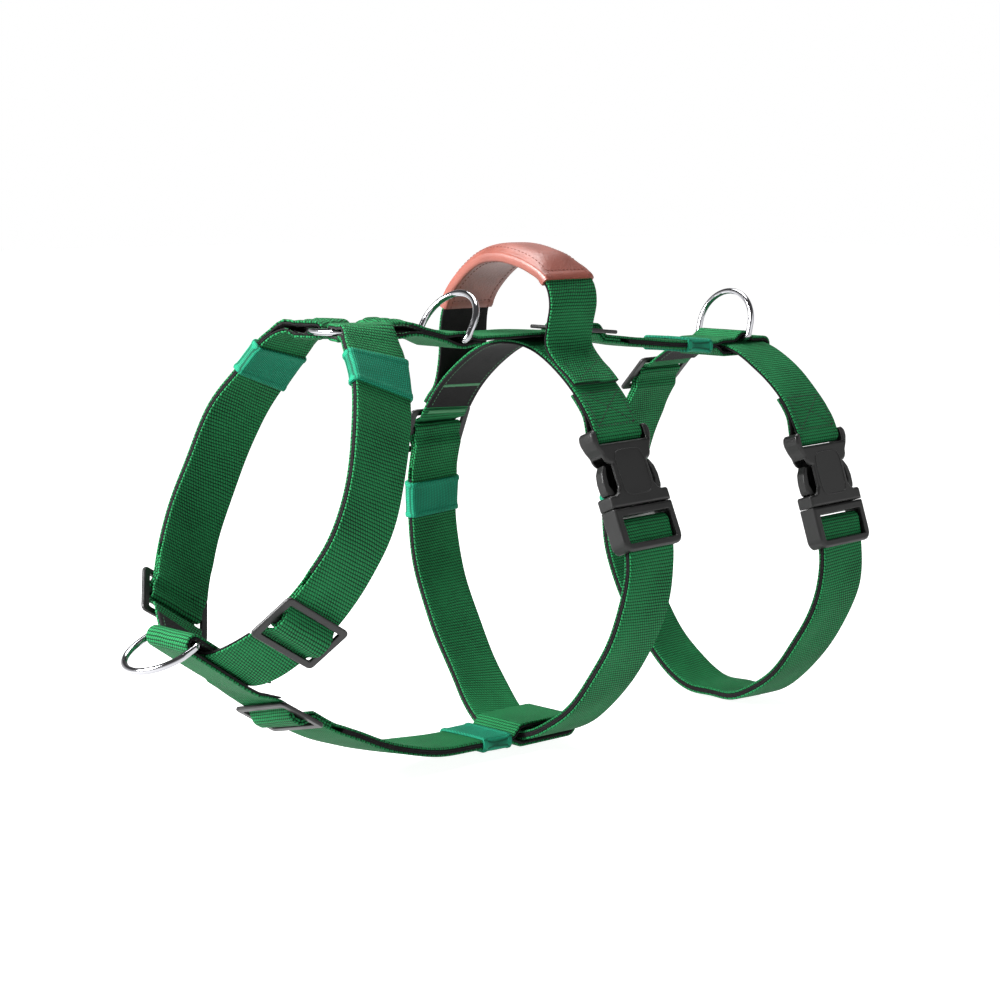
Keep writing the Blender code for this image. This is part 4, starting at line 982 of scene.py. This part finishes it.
def sleeve():
    """A closed tube whose outline is flat below and domed above; wrinkles are sines fading from both ends."""
    low_clear, clear = WEB_THICK / 2 + 2 * GAP + LINING_THICK, WEB_THICK / 2 + GAP
    half, wall, pad = 20.75, 1.5, 4.9
    along = np.linspace(SLEEVE_START, SLEEVE_END, 150)
    from_end = np.minimum(along - SLEEVE_START, SLEEVE_END - along)
    puff = pad * smoothstep(from_end / 24.0) * (1 + 0.05 * np.sin(along / 9.0 + 0.5))
    count = 33
    a, b, c = rounded_bar(count, 6)
    top = (c + 1) / 2
    dome = np.where(np.arange(len(a)) < count, 1 - np.abs(a) ** 3.5, 0.0)
    skins = []
    for grow in (wall, 0.0):
        w = -a[None] * (half - wall) - b[None] * grow + 0 * along[:, None]
        hem = 0.35 * (grow > 0) * np.exp(-((from_end - 2.4) ** 4) / 12.0)[:, None]
        creases = np.sin(along[:, None] / 2.7 + 0.8 * np.sin(w / 9.0))
        creases = 0.24 * creases * np.exp(-from_end / 20.0)[:, None]
        high = clear + grow + puff[:, None] * dome[None] + creases * top[None] * dome[None] + hem
        n = top[None] * high + (1 - top[None]) * -(low_clear + grow + 0.4 * creases + hem)
        s = np.broadcast_to(along[:, None], w.shape)
        skins.append((HANDLE.place(s, n, w), np.stack([s, w, n], axis=-1)))
    (outer, _), (inner, _) = skins
    shape = Shape()
    shape.hollow(*skins)
    for column in (3, count - 4, count + 9, 2 * count + 2):
        stitched(shape, outer[:, column], outer[:, column] - inner[:, column])
    for row in (8, 141):
        ring = outer[row, 3 : count - 3]
        stitched(shape, ring, ring - inner[row, 3 : count - 3])
        lower = outer[row, count + 9 : 2 * count + 3]
        stitched(shape, lower, lower - inner[row, count + 9 : 2 * count + 3])
    made = shape.make("leather_sleeve", [LEATHER, LEATHER_THREAD], sharp=70.0)
    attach(made, "harness")
    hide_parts("handle_sleeve", "handle_pad")


def stitched(shape, line, up):
    """Stitches along a line of points, one every 3.2 mm and each 64 % of that long."""
    pitch = 3.2
    up = up / np.linalg.norm(up, axis=1, keepdims=True)
    length = np.r_[0, np.cumsum(np.linalg.norm(np.diff(line, axis=0), axis=1))]
    middles = np.arange(pitch / 2, length[-1], pitch)

    def read(rows, at):
        return np.stack([np.interp(at, length, rows[:, k]) for k in range(3)], axis=1)

    along = (read(line, middles + 0.32 * pitch) - read(line, middles - 0.32 * pitch)) / 2
    raised = read(up, middles)
    side = np.cross(raised, along)
    side /= np.linalg.norm(side, axis=1, keepdims=True)
    shape.beads(read(line, middles) + 0.04 * raised, along, side * 0.32, raised * 0.26)


def handle():
    band = Band(HANDLE, [(1.0, 0.0), (HANDLE.length - 1.0, 0.0)])
    last = band.u[-1]
    strap = webbing("handle_webbing", "handle_strap", band, [(0, last)])
    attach(strap, "harness")
    shape = Shape()
    band.body(shape, 0.4, last - 0.4, LINING_THICK, -LINING_STEP, inset=-0.15, bulge=0.1)
    for start, end in ((1.5, 17.5), (last - 16.5, last - 1.5)):
        for path in crossed_box(start, end):
            # these stitches on the webbing's face use the thread painted in groove shade
            band.thread(shape, path, FACE, pitch=2.3, kind=2)
    backing = shape.make("handle_backing", [LINING, THREAD, GROOVE_SHADE_THREAD])
    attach(backing, "harness")
    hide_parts("handle_lining")
    sleeve()


handle()
print("handle: strap, lining and sleeve")

# %% [markdown]
# ## Plastic parts
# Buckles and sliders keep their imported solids. A fine voxel remesh and a smoothing soften their edges as moulding
# does, and a thin raised outline marks the blank label plate on each buckle.


# %% Plastic parts
def softened(obj, voxel, turns):
    obj.data = obj.data.copy()
    obj.data.materials.clear()
    obj.data.materials.append(PLASTIC)
    remesh = obj.modifiers.new("moulded", "REMESH")
    remesh.mode, remesh.voxel_size = "VOXEL", voxel * 0.001
    remesh.use_smooth_shade = True
    smooth = obj.modifiers.new("soft edges", "SMOOTH")
    smooth.factor, smooth.iterations = 0.5, turns


for name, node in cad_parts.items():
    if name.endswith("_slider"):
        softened(node, 0.42, 4)
    elif "_prong_" in name:
        softened(node, 0.35, 3)
    elif "_buckle_" in name:
        softened(node, 0.40, 4)


def label_frame(name, guide, bar_at):
    """A ridge in a rounded rectangle on the socket's outer face, round the blank label plate."""
    start, end = guide.place(bar_at), guide.place(bar_at + LOWER_BAR)
    along = (end - start) / np.linalg.norm(end - start)
    across = guide.frames(bar_at + LOWER_BAR / 2)[2]
    across = across - (across @ along) * along
    across /= np.linalg.norm(across)
    out = np.cross(along, across)
    turn = np.linspace(0, math.tau, 97)[:-1]
    square = (np.abs(np.cos(turn)) ** 5 + np.abs(np.sin(turn)) ** 5) ** -0.2
    centre = start + 24.6 * along + 6.5 * out
    path = centre + (LABEL_ALONG / 2 * square * np.cos(turn))[:, None] * along
    path = path + (LABEL_ACROSS / 2 * square * np.sin(turn))[:, None] * across
    shape = Shape()
    shape.wire(path, out, LABEL_RIDGE, 10)
    made = shape.make(f"{name}_label_outline", [PLASTIC])
    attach(made, "harness")


label_frame("chest", CHEST, CHEST_BUCKLE_AT)
label_frame("rear", REAR, REAR_BUCKLE_AT)
print("plastic parts:", sum(node.endswith("_slider") or "_buckle_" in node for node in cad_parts))

# %% [markdown]
# ## Camera, light and floor
# A long lens at standing height, slightly ahead of the harness's near side, with a pale floor and soft boxes.


# %% Camera, light and floor
AZIMUTH, ELEVATION, DISTANCE = math.radians(-43.0), math.radians(8.0), 1.467
side_on = math.cos(ELEVATION)
behind = Vector((math.sin(AZIMUTH) * side_on, -math.cos(AZIMUTH) * side_on, math.sin(ELEVATION)))
right = Vector((math.cos(AZIMUTH), math.sin(AZIMUTH), 0))
above = behind.cross(right)
aim = Vector((0.035, 0, -0.1266)) - right * 0.0186 + above * 0.0236
camera = bpy.data.objects.new("camera", bpy.data.cameras.new("camera"))
bpy.context.scene.collection.objects.link(camera)
camera.matrix_world = Matrix((right, above, behind)).transposed().to_4x4()
camera.matrix_world.translation = aim + behind * DISTANCE
camera.data.lens, camera.data.sensor_width = 85.0, 36.0
bpy.context.scene.camera = camera


def soft_box(name, direction, size, watts):
    """A square light 1.5 m from the harness; direction is to the camera's right, above and behind it."""
    lamp = bpy.data.lights.new(name, "AREA")
    lamp.size, lamp.energy = size, watts
    made = bpy.data.objects.new(name, lamp)
    bpy.context.scene.collection.objects.link(made)
    line = (right * direction[0] + Vector((0, 0, 1)) * direction[1] + behind * direction[2]).normalized()
    made.location = Vector((0.0, 0.0, -0.1)) + line * 1.5
    made.rotation_euler = line.to_track_quat("Z", "Y").to_euler()


soft_box("key", (-1.0, 0.6, 0.45), 0.7, 85)
soft_box("fill", (1.1, 0.35, 0.6), 0.9, 3)
soft_box("top", (0.0, 1.5, -0.5), 0.9, 26)
print("camera:", round(DISTANCE, 3), "m away with an 85 mm lens")

floor_shape = Shape()
square = np.array([(-8000, -8000), (8000, -8000), (8000, 8000), (-8000, 8000)], float)
levels = np.array([-262.0, -256.0])
slab = np.stack([np.column_stack([square, np.full(4, z)]) for z in levels])
floor_shape.grid(slab, slab)
paper = plain("floor", "#9c9c9c", 0.9, Emission_Color=linear("#ffffff"), Emission_Strength=0.92)
floor = floor_shape.make("floor", [paper])

world = bpy.data.worlds.new("white room with a dim ceiling")
world.use_nodes = True
room = world.node_tree
direction = room.nodes.new("ShaderNodeTexCoord").outputs["Generated"]
height = room.nodes.new("ShaderNodeSeparateXYZ")
ceiling = room.nodes.new("ShaderNodeMapRange")
for socket, value in zip(("From Min", "From Max", "To Min", "To Max"), (0.15, 0.5, 1.0, 0.1)):
    ceiling.inputs[socket].default_value = value
room.links.new(direction, height.inputs[0])
room.links.new(height.outputs["Z"], ceiling.inputs["Value"])
room.links.new(ceiling.outputs[0], room.nodes["Background"].inputs["Strength"])
room.nodes["Background"].inputs["Color"].default_value = linear("#ffffff")
bpy.context.scene.world = world
bpy.context.scene.view_settings.view_transform = "Standard"
